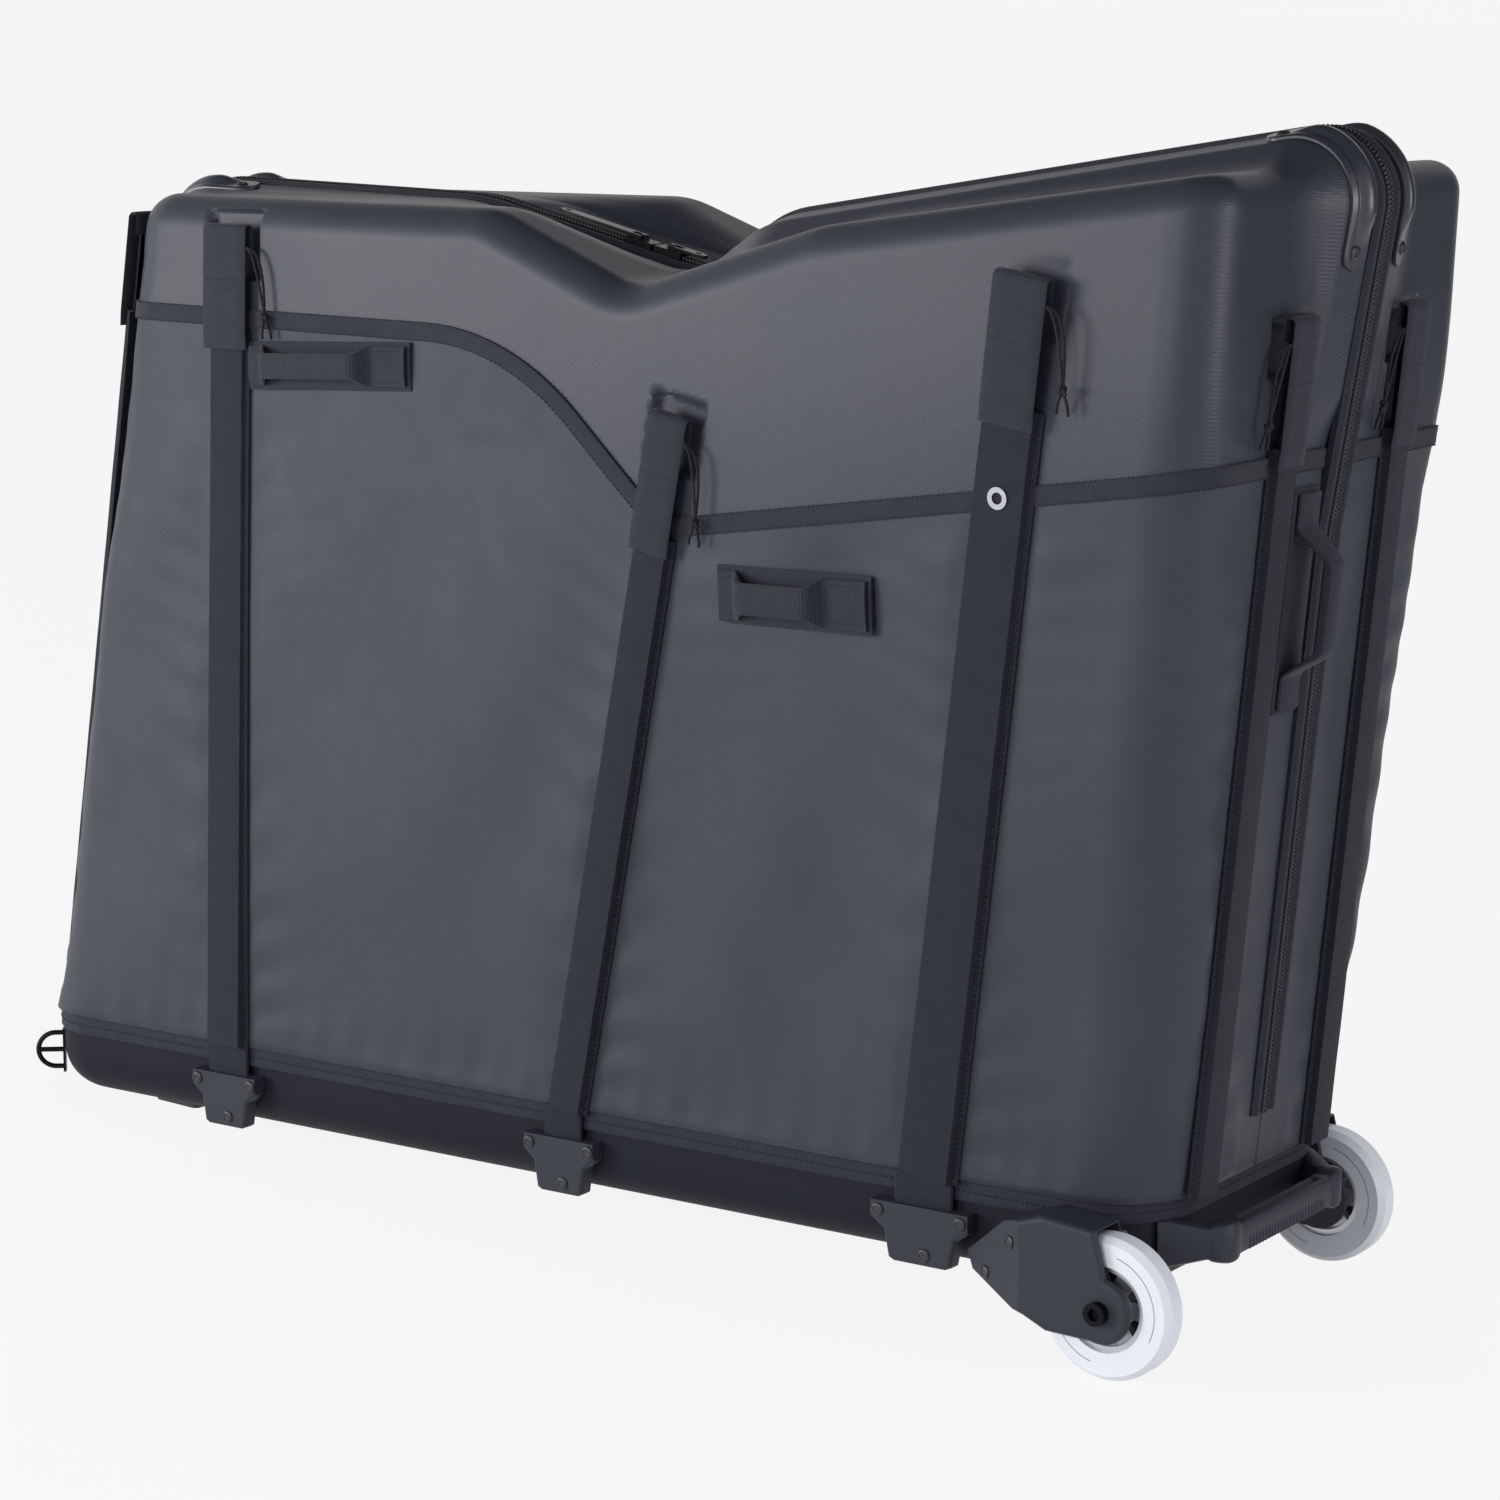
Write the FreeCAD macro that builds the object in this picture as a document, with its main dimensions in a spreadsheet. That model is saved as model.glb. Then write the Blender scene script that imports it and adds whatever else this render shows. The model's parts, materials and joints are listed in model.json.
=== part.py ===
import FreeCAD, Part
import math
import os
import re
import Sketcher
from types import SimpleNamespace

# Bike travel case: a wheeled tray, two flared side halves of cloth and hard shell that close
# with a zip over the top, and an inner rail that carries the bicycle.
#
# The pieces are drawn with the tray level: X runs along the case with the wheel axle at zero,
# -Y is the left half, and Z is zero under the wheels. The stand placement at the end then
# sets the case down on its wheels and front pads.

Vector = FreeCAD.Vector
doc = FreeCAD.newDocument("bike_travel_case")
sheet = doc.addObject("Spreadsheet::Sheet", "sizes")

SIZES = [
    # Wheels and axles
    ("wheel_diameter", 100.0, "outside of the tyre"),
    ("tyre_width", 23.0, "tyre across its walls"),
    ("tyre_depth", 20.0, "tyre from core to tread"),
    ("tread_drop", 4.0, "how far the tread falls to its shoulders"),
    ("shoulder_width", 5.0, "width of each tread shoulder"),
    ("wheel_track", 322.0, "between the middles of the two wheels"),
    ("core_width", 17.0, "rim of the wheel core"),
    ("core_rim", 4.0, "rim thickness of the wheel core"),
    ("core_web", 6.0, "web thickness of the wheel core"),
    ("core_hub", 30.0, "outside of the core's hub"),
    ("hub_width", 21.0, "core hub along the axle"),
    ("spoke_count", 6.0, "windows in the core web"),
    ("window_inner_width", 5.0, "core window at the hub"),
    ("window_outer_width", 13.0, "core window at the rim"),
    ("window_margin", 1.5, "web left inside and outside a window"),
    ("bearing_outside", 22.0, "ball bearing outside"),
    ("bearing_width", 7.0, "ball bearing along the axle"),
    ("axle_diameter", 8.0, "axle bolt shank"),
    ("axle_play", 0.05, "running play round the axle, on the radius"),
    ("spacer_outside", 12.0, "spacer tubes on the axle"),
    ("spacer_play", 0.3, "gap from a fixed spacer to its bearing"),
    ("bolt_head", 16.0, "axle bolt head across"),
    ("bolt_head_height", 6.0, "axle bolt head height"),
    ("socket_across", 8.0, "hexagon socket across its flats"),
    ("socket_depth", 4.0, "depth of the hexagon socket"),
    # Wheel brackets
    ("bracket_reach", 119.0, "bracket ahead of the axle"),
    ("bracket_top", 109.0, "top of the bracket's hood"),
    ("bracket_tail", 4.0, "hood's rear end ahead of the axle"),
    ("bracket_low", 29.0, "lowest edge of the bracket's cheek"),
    ("bracket_nose", 23.0, "radius of the cheek round the axle"),
    ("bracket_cheek", 4.0, "thickness of each bracket cheek"),
    ("bracket_outside", 180.0, "outer cheek from the middle of the case"),
    ("bracket_taper", 62.0, "where the front taper meets the outer cheek, ahead of the axle"),
    ("bracket_toe", 8.0, "thickness of the bracket's front toe"),
    ("bracket_round", 4.0, "rounding of the bracket's outer edge"),
    ("wheel_room", 4.0, "clearance round the tyre"),
    # Base tray
    ("ground_clearance", 46.0, "tray floor above the wheels' ground line"),
    ("tray_height", 66.0, "tray from its floor to its rim"),
    ("tray_half_width", 143.0, "tray's side wall from the middle"),
    ("tray_front", 1004.0, "tray front ahead of the axle"),
    ("tray_rear", 15.0, "tray rear behind the axle"),
    ("tray_wall", 4.0, "tray wall"),
    ("tray_front_corner", 55.0, "front corners in plan"),
    ("tray_rear_corner", 65.0, "rear corners in plan"),
    ("tray_bottom_round", 34.0, "rounding under the tray"),
    ("hem_width", 15.0, "binding tape round the tray rim"),
    ("hem_thickness", 2.4, "binding tape thickness"),
    ("lean_degrees", 2.58, "angle by which the case leans forward onto its front pads"),
    ("pad_length", 44.0, "front pad along the case"),
    ("pad_width", 26.0, "front pad across the case"),
    ("pad_ahead", 890.0, "front pad ahead of the axle"),
    ("pad_spread", 92.0, "front pad from the middle"),
    ("pad_round", 5.0, "front pad corners"),
    # Pull handles at the two ends of the tray
    ("handle_span", 172.0, "pull handle across the case"),
    ("handle_plate", 5.0, "back plate thickness"),
    ("handle_low", 52.0, "lower edge of the back plate"),
    ("handle_high", 96.4, "upper edge of the back plate's ears"),
    ("handle_waist", 88.0, "upper edge of the back plate between the ears"),
    ("handle_ear", 30.0, "width of each ear"),
    ("handle_reach", 34.0, "bar's outer face from the tray wall"),
    ("handle_bar", 12.0, "bar front to back"),
    ("handle_bar_low", 69.0, "lower edge of the bar"),
    ("handle_bar_high", 93.0, "upper edge of the bar"),
    ("handle_arm", 20.0, "width of each arm"),
    ("grip_pitch", 9.0, "between two grip notches"),
    ("grip_width", 4.0, "width of a grip notch"),
    ("grip_depth", 3.0, "depth of a grip notch"),
    ("grip_count", 12.0, "notches along the bar"),
    ("handle_round", 3.0, "rounding of the bar"),
    ("ring_bow", 14.0, "bend radius of a front lashing ring"),
    ("ring_rod", 4.0, "rod of a front lashing ring"),
    ("ring_leg", 8.0, "straight legs of a front lashing ring"),
    ("ring_height", 74.0, "front lashing ring's middle above the ground line"),
    ("ring_turn", 38.0, "ring's direction round the corner, in degrees from straight ahead"),
    ("rivet_head", 9.0, "rivet head diameter"),
    ("rivet_height", 2.2, "rivet head height"),
    # Stay sockets on the tray
    ("socket_width", 63.0, "socket plate across its ears"),
    ("socket_height", 42.0, "socket plate height"),
    ("socket_thick", 12.0, "socket plate out from the tray"),
    ("socket_top", 90.0, "upper edge of the sockets"),
    ("wide_socket_share", 1.25, "rear socket against the others"),
    ("strap_thickness", 4.4, "webbing with the stay inside, at the socket"),
    ("strap_depth", 20.0, "how deep the strap end sits in its socket"),
    ("fit_gap", 0.3, "clearance between pieces that only meet"),
    # Side halves: plan outline at the tray rim, at the flare's top and at the crown
    ("rim_gap", 0.3, "cloth above the tray rim"),
    ("half_gap", 0.3, "each half from the middle plane"),
    ("side_front", 1008.0, "cloth's front face at the rim, ahead of the axle"),
    ("side_rear", 22.0, "cloth's rear face at the rim, behind the axle"),
    ("side_half_width", 147.0, "cloth's side at the rim"),
    ("flare_height", 656.0, "height where the flare ends"),
    ("flare_front", 920.8, "front face at the flare's top"),
    ("flare_rear", 73.7, "rear face at the flare's top"),
    ("flare_front_half", 114.4, "half width at the front, flare's top"),
    ("flare_rear_half", 195.9, "half width at the rear, flare's top"),
    ("crown_height", 860.0, "height of the topmost plan outline"),
    ("crown_front", 899.0, "front face at the crown"),
    ("crown_rear", 84.0, "rear face at the crown"),
    ("crown_front_half", 110.0, "half width at the front, crown"),
    ("crown_rear_half", 191.0, "half width at the rear, crown"),
    ("rim_front_corner", 56.0, "front corners at the rim"),
    ("rim_rear_corner", 66.0, "rear corners at the rim"),
    ("flare_front_corner", 42.0, "front corners at the flare's top"),
    ("flare_rear_corner", 40.0, "rear corners at the flare's top"),
    ("crown_front_corner", 40.0, "front corners at the crown"),
    ("crown_rear_corner", 38.0, "rear corners at the crown"),
    ("cloth_wall", 3.0, "padded cloth"),
    ("shell_wall", 3.5, "hard shell"),
    ("shell_round", 30.0, "rounding from the roof to the side"),
    ("ridge_peak", 834.0, "highest point of the zip ridge"),
    ("ridge_proud", 1.5, "ridge outside the end faces at its knees"),
    ("ridge_bend", 150.0, "bend of the ridge at its knees"),
    ("ridge_foot", 520.0, "height where the ridge starts on the end faces"),
    ("crest_half", 20.0, "half width of the flat zip crest"),
    ("shoulder_half", 46.0, "half width at the ridge's shoulders"),
    ("shoulder_fall", 8.0, "shoulders below the crest"),
    ("skirt_half", 104.0, "half width where the ridge ends"),
    ("skirt_fall", 34.0, "end of the ridge below the crest"),
    ("tape_width", 17.0, "trim tape between shell and cloth"),
    ("tape_thickness", 1.4, "trim tape thickness"),
    ("tape_start", 74.0, "trim tape's ends from the middle, beside the ridge"),
    ("zip_tape_half", 17.0, "zip tape on each side"),
    ("zip_tape_thickness", 1.2, "zip tape thickness"),
    ("coil_half", 2.8, "coil on each side"),
    ("coil_height", 2.0, "coil above its tape"),
    ("zip_low", 152.0, "lower ends of the zip"),
    ("guard_height", 4.0, "corner guard plate"),
    ("guard_rib_height", 8.0, "corner guard ribs above the ridge"),
    ("guard_inner", 22.5, "guard's inner edge from the middle"),
    ("guard_outer", 44.5, "guard's outer edge from the middle"),
    ("guard_groove", 4.0, "groove between the two ribs"),
    ("guard_run", 96.0, "guard along each leg of the corner"),
    ("guard_tab", 22.0, "tab left flat at each end of the guard"),
    ("contact", 0.15, "gap between pieces sewn or pressed together"),
    # Stays, sleeves and flaps
    ("stay_width", 20.0, "flat stay across"),
    ("stay_thickness", 2.6, "flat stay thickness"),
    ("stay_stand_off", 3.4, "stay line outside the cloth"),
    ("sleeve_thickness", 5.0, "sleeve outside the stay line"),
    ("sleeve_root", 12.0, "sleeve blank inside the stay line"),
    ("flap_thickness", 8.5, "folded flap outside the stay line"),
    ("sleeve_front", 41.0, "front side sleeve across"),
    ("sleeve_middle", 35.0, "middle side sleeve across"),
    ("sleeve_rear", 48.0, "rear side sleeve across"),
    ("sleeve_end", 34.0, "sleeves on the two ends"),
    ("flap_front", 44.0, "front side flap across"),
    ("flap_middle", 34.0, "middle side flap across"),
    ("flap_rear", 42.0, "rear side flap across"),
    ("flap_end", 36.0, "flaps on the two ends"),
    ("end_stay_rear", 84.0, "rear end's stay from the middle"),
    ("end_stay_front", 84.0, "front end's stay from the middle"),
    ("recess_side", 4.5, "recess beside a flap"),
    ("recess_over", 10.0, "recess above a flap"),
    ("recess_under", 34.0, "recess below a flap's top"),
    ("recess_depth", 7.0, "recess into the shell"),
    ("eyelet_outside", 15.0, "eyelet on the wide strap"),
    ("eyelet_hole", 8.0, "eyelet hole"),
    ("eyelet_height", 1.2, "eyelet above the strap"),
    ("cord_diameter", 3.0, "pull cord"),
    ("knot_diameter", 9.0, "knot of a pull cord"),
    ("cord_stand_off", 6.0, "pull cord outside the stay line"),
    ("cord_spread", 16.0, "pull cord out from its flap's edge"),
    ("cord_drop", 62.0, "pull cord's hanging length"),
    ("grip_stand_off", 0.6, "webbing foot outside the cloth"),
    ("join_slack", 0.01, "slack for joining faces that nearly meet"),
    # Carrying handles of webbing
    ("webbing", 3.2, "handle webbing thickness"),
    ("handle_foot", 24.0, "sewn foot of a webbing handle"),
    ("side_handle_rise", 15.0, "side handle's finger gap"),
    ("front_grip_width", 30.0, "front side handle's webbing"),
    ("rear_grip_width", 35.0, "rear side handle's webbing"),
    ("end_grip_width", 30.0, "end handle's webbing"),
    ("end_grip_rise", 27.0, "end handle's finger gap"),
    ("end_grip_low", 444.0, "lower end of the end handle"),
    ("end_grip_high", 600.0, "upper end of the end handle"),
    ("end_grip_aside", 40.0, "end handle from the middle"),
    # Wheel pocket inside each half
    ("pocket_depth", 46.0, "room from the cloth to the pocket's face"),
    ("pocket_wall", 2.5, "pocket cloth"),
    ("pocket_front", 760.0, "pocket's front edge ahead of the axle"),
    ("pocket_rear", 190.0, "pocket's rear edge ahead of the axle"),
    ("pocket_low", 138.0, "pocket's lower edge"),
    ("pocket_high", 500.0, "pocket's mouth"),
    # Bike rail and its mounts
    ("rail_width", 40.0, "rail across"),
    ("rail_height", 20.0, "rail height"),
    ("rail_slot", 12.0, "slot along the rail's top"),
    ("rail_slot_depth", 9.0, "depth of the slot"),
    ("rail_front", 950.0, "rail's front end ahead of the axle"),
    ("rail_rear", 40.0, "rail's rear end ahead of the axle"),
    ("foot_height", 5.0, "cross foot under the rail"),
    ("foot_length", 36.0, "cross foot along the case"),
    ("foot_half", 60.0, "half of a cross foot across the case"),
    ("foot_inset", 90.0, "cross foot from the rail's end"),
    ("screw_head", 10.0, "foot screw head"),
    ("screw_head_height", 4.0, "foot screw head height"),
    ("screw_spread", 48.0, "foot screw from the middle"),
    ("saddle_length", 64.0, "mount saddle along the rail"),
    ("saddle_wall", 8.0, "saddle wall beside and over the rail"),
    ("saddle_play", 0.2, "saddle's sliding play"),
    ("post_thickness", 18.0, "mount post along the case"),
    ("post_width", 36.0, "mount post across the case"),
    ("tube_outside", 24.0, "dummy hub outside"),
    ("tube_bore", 12.2, "dummy hub bore for a through axle"),
    ("tube_eye", 36.0, "eye that holds the dummy hub"),
    ("fork_tube", 100.0, "front dummy hub length"),
    ("dropout_tube", 142.0, "rear dummy hub length"),
    ("fork_axle_height", 150.0, "front dummy hub above the ground line"),
    ("dropout_axle_height", 170.0, "rear dummy hub above the ground line"),
    ("fork_ahead", 120.0, "front dummy hub ahead of the axle"),
    ("dropout_ahead", 880.0, "rear dummy hub ahead of the axle"),
    ("knob_diameter", 26.0, "clamp knob"),
    ("knob_height", 14.0, "clamp knob along its screw"),
    ("knob_screw", 8.0, "clamp screw"),
    ("knob_screw_length", 6.0, "clamp screw inside the saddle"),
    ("knob_lobes", 5.0, "finger hollows round the knob"),
    ("knob_hollow", 8.0, "finger hollow diameter"),
    # Zip sliders and their pullers
    ("slider_length", 24.0, "slider along the zip"),
    ("slider_half", 7.0, "slider's half width"),
    ("slider_plate", 2.2, "slider's top plate"),
    ("slider_lift", 5.8, "underside of the plate above the crest"),
    ("slider_flange", 2.4, "slider's side flange"),
    ("bridge_half", 2.0, "half width of the slider's bridge"),
    ("bridge_length", 8.0, "slider's bridge along the zip"),
    ("bridge_height", 3.8, "slider's bridge above the plate"),
    ("pin_diameter", 2.0, "puller pin"),
    ("puller_thickness", 2.4, "puller plate"),
    ("puller_half", 5.5, "puller's half width"),
    ("puller_arm", 2.0, "puller's two arms"),
    ("puller_window", 10.0, "window round the bridge"),
    ("long_puller", 78.0, "front puller's length"),
    ("short_puller", 30.0, "rear puller's length"),
    ("puller_eye", 5.0, "hole in a puller's end"),
    ("slider_places_front", 500.0, "front slider ahead of the axle"),
    ("slider_places_rear", 474.0, "rear slider ahead of the axle"),
    # Helpers
    ("overrun", 40.0, "how far a cutting shape runs past what it cuts"),
    ("middle_ahead", 468.0, "middle of the whole case ahead of the axle"),
]

for row, (alias, value, meaning) in enumerate(SIZES, start=1):
    sheet.set("A%d" % row, meaning)
    sheet.set("B%d" % row, str(value))
    sheet.setAlias("B%d" % row, alias)
doc.recompute()
NAMES = {alias for alias, value, meaning in SIZES}
d = SimpleNamespace(**{alias: float(sheet.get(alias)) for alias in NAMES})
axle_height = d.wheel_diameter / 2
rim_height = d.ground_clearance + d.tray_height


def formula(text):
    """Turn size names in a formula into references to the sheet."""
    return re.sub(r"[a-z_]+", lambda word: "sizes." + word.group() if word.group() in NAMES else word.group(), text)


def bind(target, prop, text):
    target.setExpression(prop, formula(text))


# Sketches and features

def new_body(label):
    return doc.addObject("PartDesign::Body", label)


def new_sketch(owner, role, along="0", up="0", out="0"):
    """A sketch on one of the body's own planes, shifted in the plane and along its normal."""
    plane = [feature for feature in owner.Origin.OriginFeatures if feature.Role == role][0]
    sketch = owner.newObject("Sketcher::SketchObject", owner.Name + "_sketch")
    sketch.AttachmentSupport = (plane, [""])
    sketch.MapMode = "FlatFace"
    for axis, text in zip("xyz", (along, up, out)):
        bind(sketch, "AttachmentOffset.Base." + axis, text)
    return sketch


def pin(sketch, item, point, across, up):
    """Hold one point of a sketch at two formulas of the sheet."""
    for kind, text in (("DistanceX", across), ("DistanceY", up)):
        value = float(sheet.evalExpression(formula(text)))
        index = sketch.addConstraint(Sketcher.Constraint(kind, -1, 1, item, point, value))
        bind(sketch, "Constraints[%d]" % index, text)


def draw_outline(sketch, corners):
    """A closed outline of straight lines whose corners follow the sheet."""
    first = sketch.GeometryCount
    count = len(corners)
    points = [Vector(*(float(sheet.evalExpression(formula(text))) for text in corner), 0) for corner in corners]
    for index in range(count):
        sketch.addGeometry(Part.LineSegment(points[index], points[(index + 1) % count]), False)
    for index in range(count):
        after = first + (index + 1) % count
        sketch.addConstraint(Sketcher.Constraint("Coincident", first + index, 2, after, 1))
    for index, (across, up) in enumerate(corners):
        pin(sketch, first + index, 1, across, up)


def draw_box(sketch, left, low, right, high):
    draw_outline(sketch, [(left, low), (right, low), (right, high), (left, high)])


def draw_circle(sketch, across, up, diameter):
    radius = float(sheet.evalExpression(formula(diameter))) / 2
    centre = Vector(*(float(sheet.evalExpression(formula(text))) for text in (across, up)), 0)
    item = sketch.addGeometry(Part.Circle(centre, Vector(0, 0, 1), radius), False)
    index = sketch.addConstraint(Sketcher.Constraint("Diameter", item, 2 * radius))
    bind(sketch, "Constraints[%d]" % index, diameter)
    pin(sketch, item, 3, across, up)


def pad(owner, sketch, length):
    feature = owner.newObject("PartDesign::Pad", owner.Name + "_pad")
    feature.Profile = sketch
    bind(feature, "Length", length)
    doc.recompute()
    return feature


def pocket(owner, sketch, length, forward=True):
    """Cut the sketch along its normal (forward) or against it, and see that something went."""
    before = owner.Shape.Volume
    feature = owner.newObject("PartDesign::Pocket", owner.Name + "_pocket")
    feature.Profile = sketch
    feature.Reversed = forward
    bind(feature, "Length", length)
    doc.recompute()
    if not owner.Shape.Volume < before:
        raise RuntimeError("%s: a pocket removed nothing, %s" % (owner.Label, feature.getStatusString()))
    return feature


def revolve(owner, sketch, axis="V_Axis"):
    feature = owner.newObject("PartDesign::Revolution", owner.Name + "_turn")
    feature.Profile = sketch
    feature.ReferenceAxis = (sketch, [axis])
    doc.recompute()
    return feature


def fillet(owner, radius, wanted):
    """Round every edge of the body for which wanted(edge) is true."""
    names = ["Edge%d" % number for number, edge in enumerate(owner.Shape.Edges, start=1) if wanted(edge)]
    last = owner.Tip
    feature = owner.newObject("PartDesign::Fillet", owner.Name + "_round")
    feature.Base = (last, names)
    bind(feature, "Radius", radius)
    doc.recompute()
    if not names or "Invalid" in feature.State:
        raise RuntimeError("%s: a rounding of %d edges failed, %s" % (owner.Label, len(names), feature.getStatusString()))
    return feature


def upright(edge):
    start, end = edge.Vertexes[0].Point, edge.Vertexes[-1].Point
    return math.hypot(start.x - end.x, start.y - end.y) < d.contact and abs(start.z - end.z) > d.contact


SUBPARTS = []


def keep(item, label):
    item.Label = label
    SUBPARTS.append(item)
    return item


def mirror(source, label):
    """The right-hand twin of a left-hand piece."""
    twin = doc.addObject("Part::Mirroring", label)
    twin.Source = source
    twin.Normal = Vector(0, 1, 0)
    return keep(twin, label)


def join_twins(source, label):
    """One piece made of a left-hand piece and its right-hand twin."""
    twin = doc.addObject("Part::Mirroring", label + "_twin")
    twin.Source = source
    twin.Normal = Vector(0, 1, 0)
    pair = doc.addObject("Part::Compound", label)
    pair.Links = [source, twin]
    return keep(pair, label)


def plain(label, shape):
    """A piece whose form is built from Part's own surfaces."""
    feature = doc.addObject("Part::Feature", label)
    feature.Shape = shape
    return keep(feature, label)


# Wheels: the axle runs along Y at wheel height, and the wheel sits on the left

def wheel_sketch(owner):
    return new_sketch(owner, "XY_Plane", "0", "-wheel_track / 2", "wheel_diameter / 2")


def build_wheel():
    core_radius = "(wheel_diameter / 2 - tyre_depth)"
    tyre = new_body("left_tyre")
    profile = wheel_sketch(tyre)
    half = "tyre_width / 2"
    draw_outline(profile, [
        (core_radius, "-" + half), ("wheel_diameter / 2 - tread_drop", "-" + half),
        ("wheel_diameter / 2", "-%s + shoulder_width" % half), ("wheel_diameter / 2", half + " - shoulder_width"),
        ("wheel_diameter / 2 - tread_drop", half), (core_radius, half)])
    revolve(tyre, profile)

    core = new_body("left_wheel_core")
    profile = wheel_sketch(core)
    rim, web, hub = "core_width / 2", "core_web / 2", "hub_width / 2"
    inner = core_radius + " - core_rim"
    bore = "bearing_outside / 2"
    lip = "(spacer_outside / 2 + core_rim / 2)"
    seat = "(hub_width / 2 - bearing_width)"
    draw_outline(profile, [
        (core_radius, "-" + rim), (core_radius, rim), (inner, rim), (inner, web),
        ("core_hub / 2", web), ("core_hub / 2", hub), (bore, hub), (bore, seat), (lip, seat),
        (lip, "-" + seat), (bore, "-" + seat), (bore, "-" + hub), ("core_hub / 2", "-" + hub),
        ("core_hub / 2", "-" + web), (inner, "-" + web), (inner, "-" + rim)])
    revolve(core, profile)
    window = new_sketch(core, "XZ_Plane", "0", "wheel_diameter / 2", "wheel_track / 2 - core_width / 2")
    low, high = "core_hub / 2 + window_margin", inner + " - window_margin"
    draw_outline(window, [
        ("-window_inner_width / 2", low), ("window_inner_width / 2", low),
        ("window_outer_width / 2", high), ("-window_outer_width / 2", high)])
    cut = pocket(core, window, "core_width")
    spokes = core.newObject("PartDesign::PolarPattern", "left_wheel_core_spokes")
    spokes.Originals = [cut]
    spokes.Axis = (window, ["N_Axis"])
    bind(spokes, "Occurrences", "spoke_count")
    core.Tip = spokes
    doc.recompute()

    bearings = []
    for name, side in (("inner", 1), ("outer", -1)):
        ring = new_body("left_bearing_" + name)
        profile = wheel_sketch(ring)
        draw_box(profile, "axle_diameter / 2 + axle_play", "%d * %s" % (side, seat), bore, "%d * %s" % (side, hub))
        revolve(ring, profile)
        bearings.append(ring)
    pair = doc.addObject("Part::Compound", "left_bearings")
    pair.Links = bearings

    spacer = new_body("left_bearing_spacer")
    profile = wheel_sketch(spacer)
    draw_box(profile, "axle_diameter / 2 + axle_play", "-" + seat, "spacer_outside / 2", seat)
    revolve(spacer, profile)
    for piece, label in ((tyre, "tyre"), (core, "wheel_core"), (pair, "bearings"), (spacer, "bearing_spacer")):
        keep(piece, "left_" + label)
        mirror(piece, "right_" + label)


def build_axles():
    """Each axle bolt runs from its hexagon socket outside to the inner cheek of its bracket."""
    bolt = new_body("left_axle_bolt")
    profile = new_sketch(bolt, "XY_Plane", "0", "0", "wheel_diameter / 2")
    shank, face = "axle_diameter / 2", "-(bracket_outside + fit_gap)"
    draw_outline(profile, [
        ("0", face + " - bolt_head_height"), ("bolt_head / 2", face + " - bolt_head_height"),
        ("bolt_head / 2", face), (shank, face), (shank, "-(tray_half_width + fit_gap)"),
        ("0", "-(tray_half_width + fit_gap)")])
    revolve(bolt, profile)
    socket = new_sketch(bolt, "XZ_Plane", "0", "wheel_diameter / 2",
                        "bracket_outside + fit_gap + bolt_head_height - socket_depth")
    far = "socket_across / 2 / cos(30 deg)"
    half = "socket_across / 2"
    side = "socket_across / 2 * tan(30 deg)"
    draw_outline(socket, [(far, "0"), (side, half), ("-" + side, half),
                          ("-" + far, "0"), ("-" + side, "-" + half), (side, "-" + half)])
    pocket(bolt, socket, "socket_depth")
    join_twins(bolt, "axle_bolts")

    rings = []
    inside = "-(tray_half_width + fit_gap + bracket_cheek + fit_gap)"
    hub_in = "-(wheel_track / 2 - hub_width / 2 - spacer_play)"
    hub_out = "-(wheel_track / 2 + hub_width / 2 + spacer_play)"
    outside = "-(bracket_outside - bracket_cheek - fit_gap)"
    for name, near, far in (("in", inside, hub_in), ("out", hub_out, outside)):
        ring = new_body("left_axle_spacer_" + name)
        profile = new_sketch(ring, "XY_Plane", "0", "0", "wheel_diameter / 2")
        draw_box(profile, "axle_diameter / 2 + axle_play", near, "spacer_outside / 2", far)
        revolve(ring, profile)
        rings.append(ring)
    pair = doc.addObject("Part::Compound", "left_axle_spacers")
    pair.Links = rings
    join_twins(pair, "axle_spacers")


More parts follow.
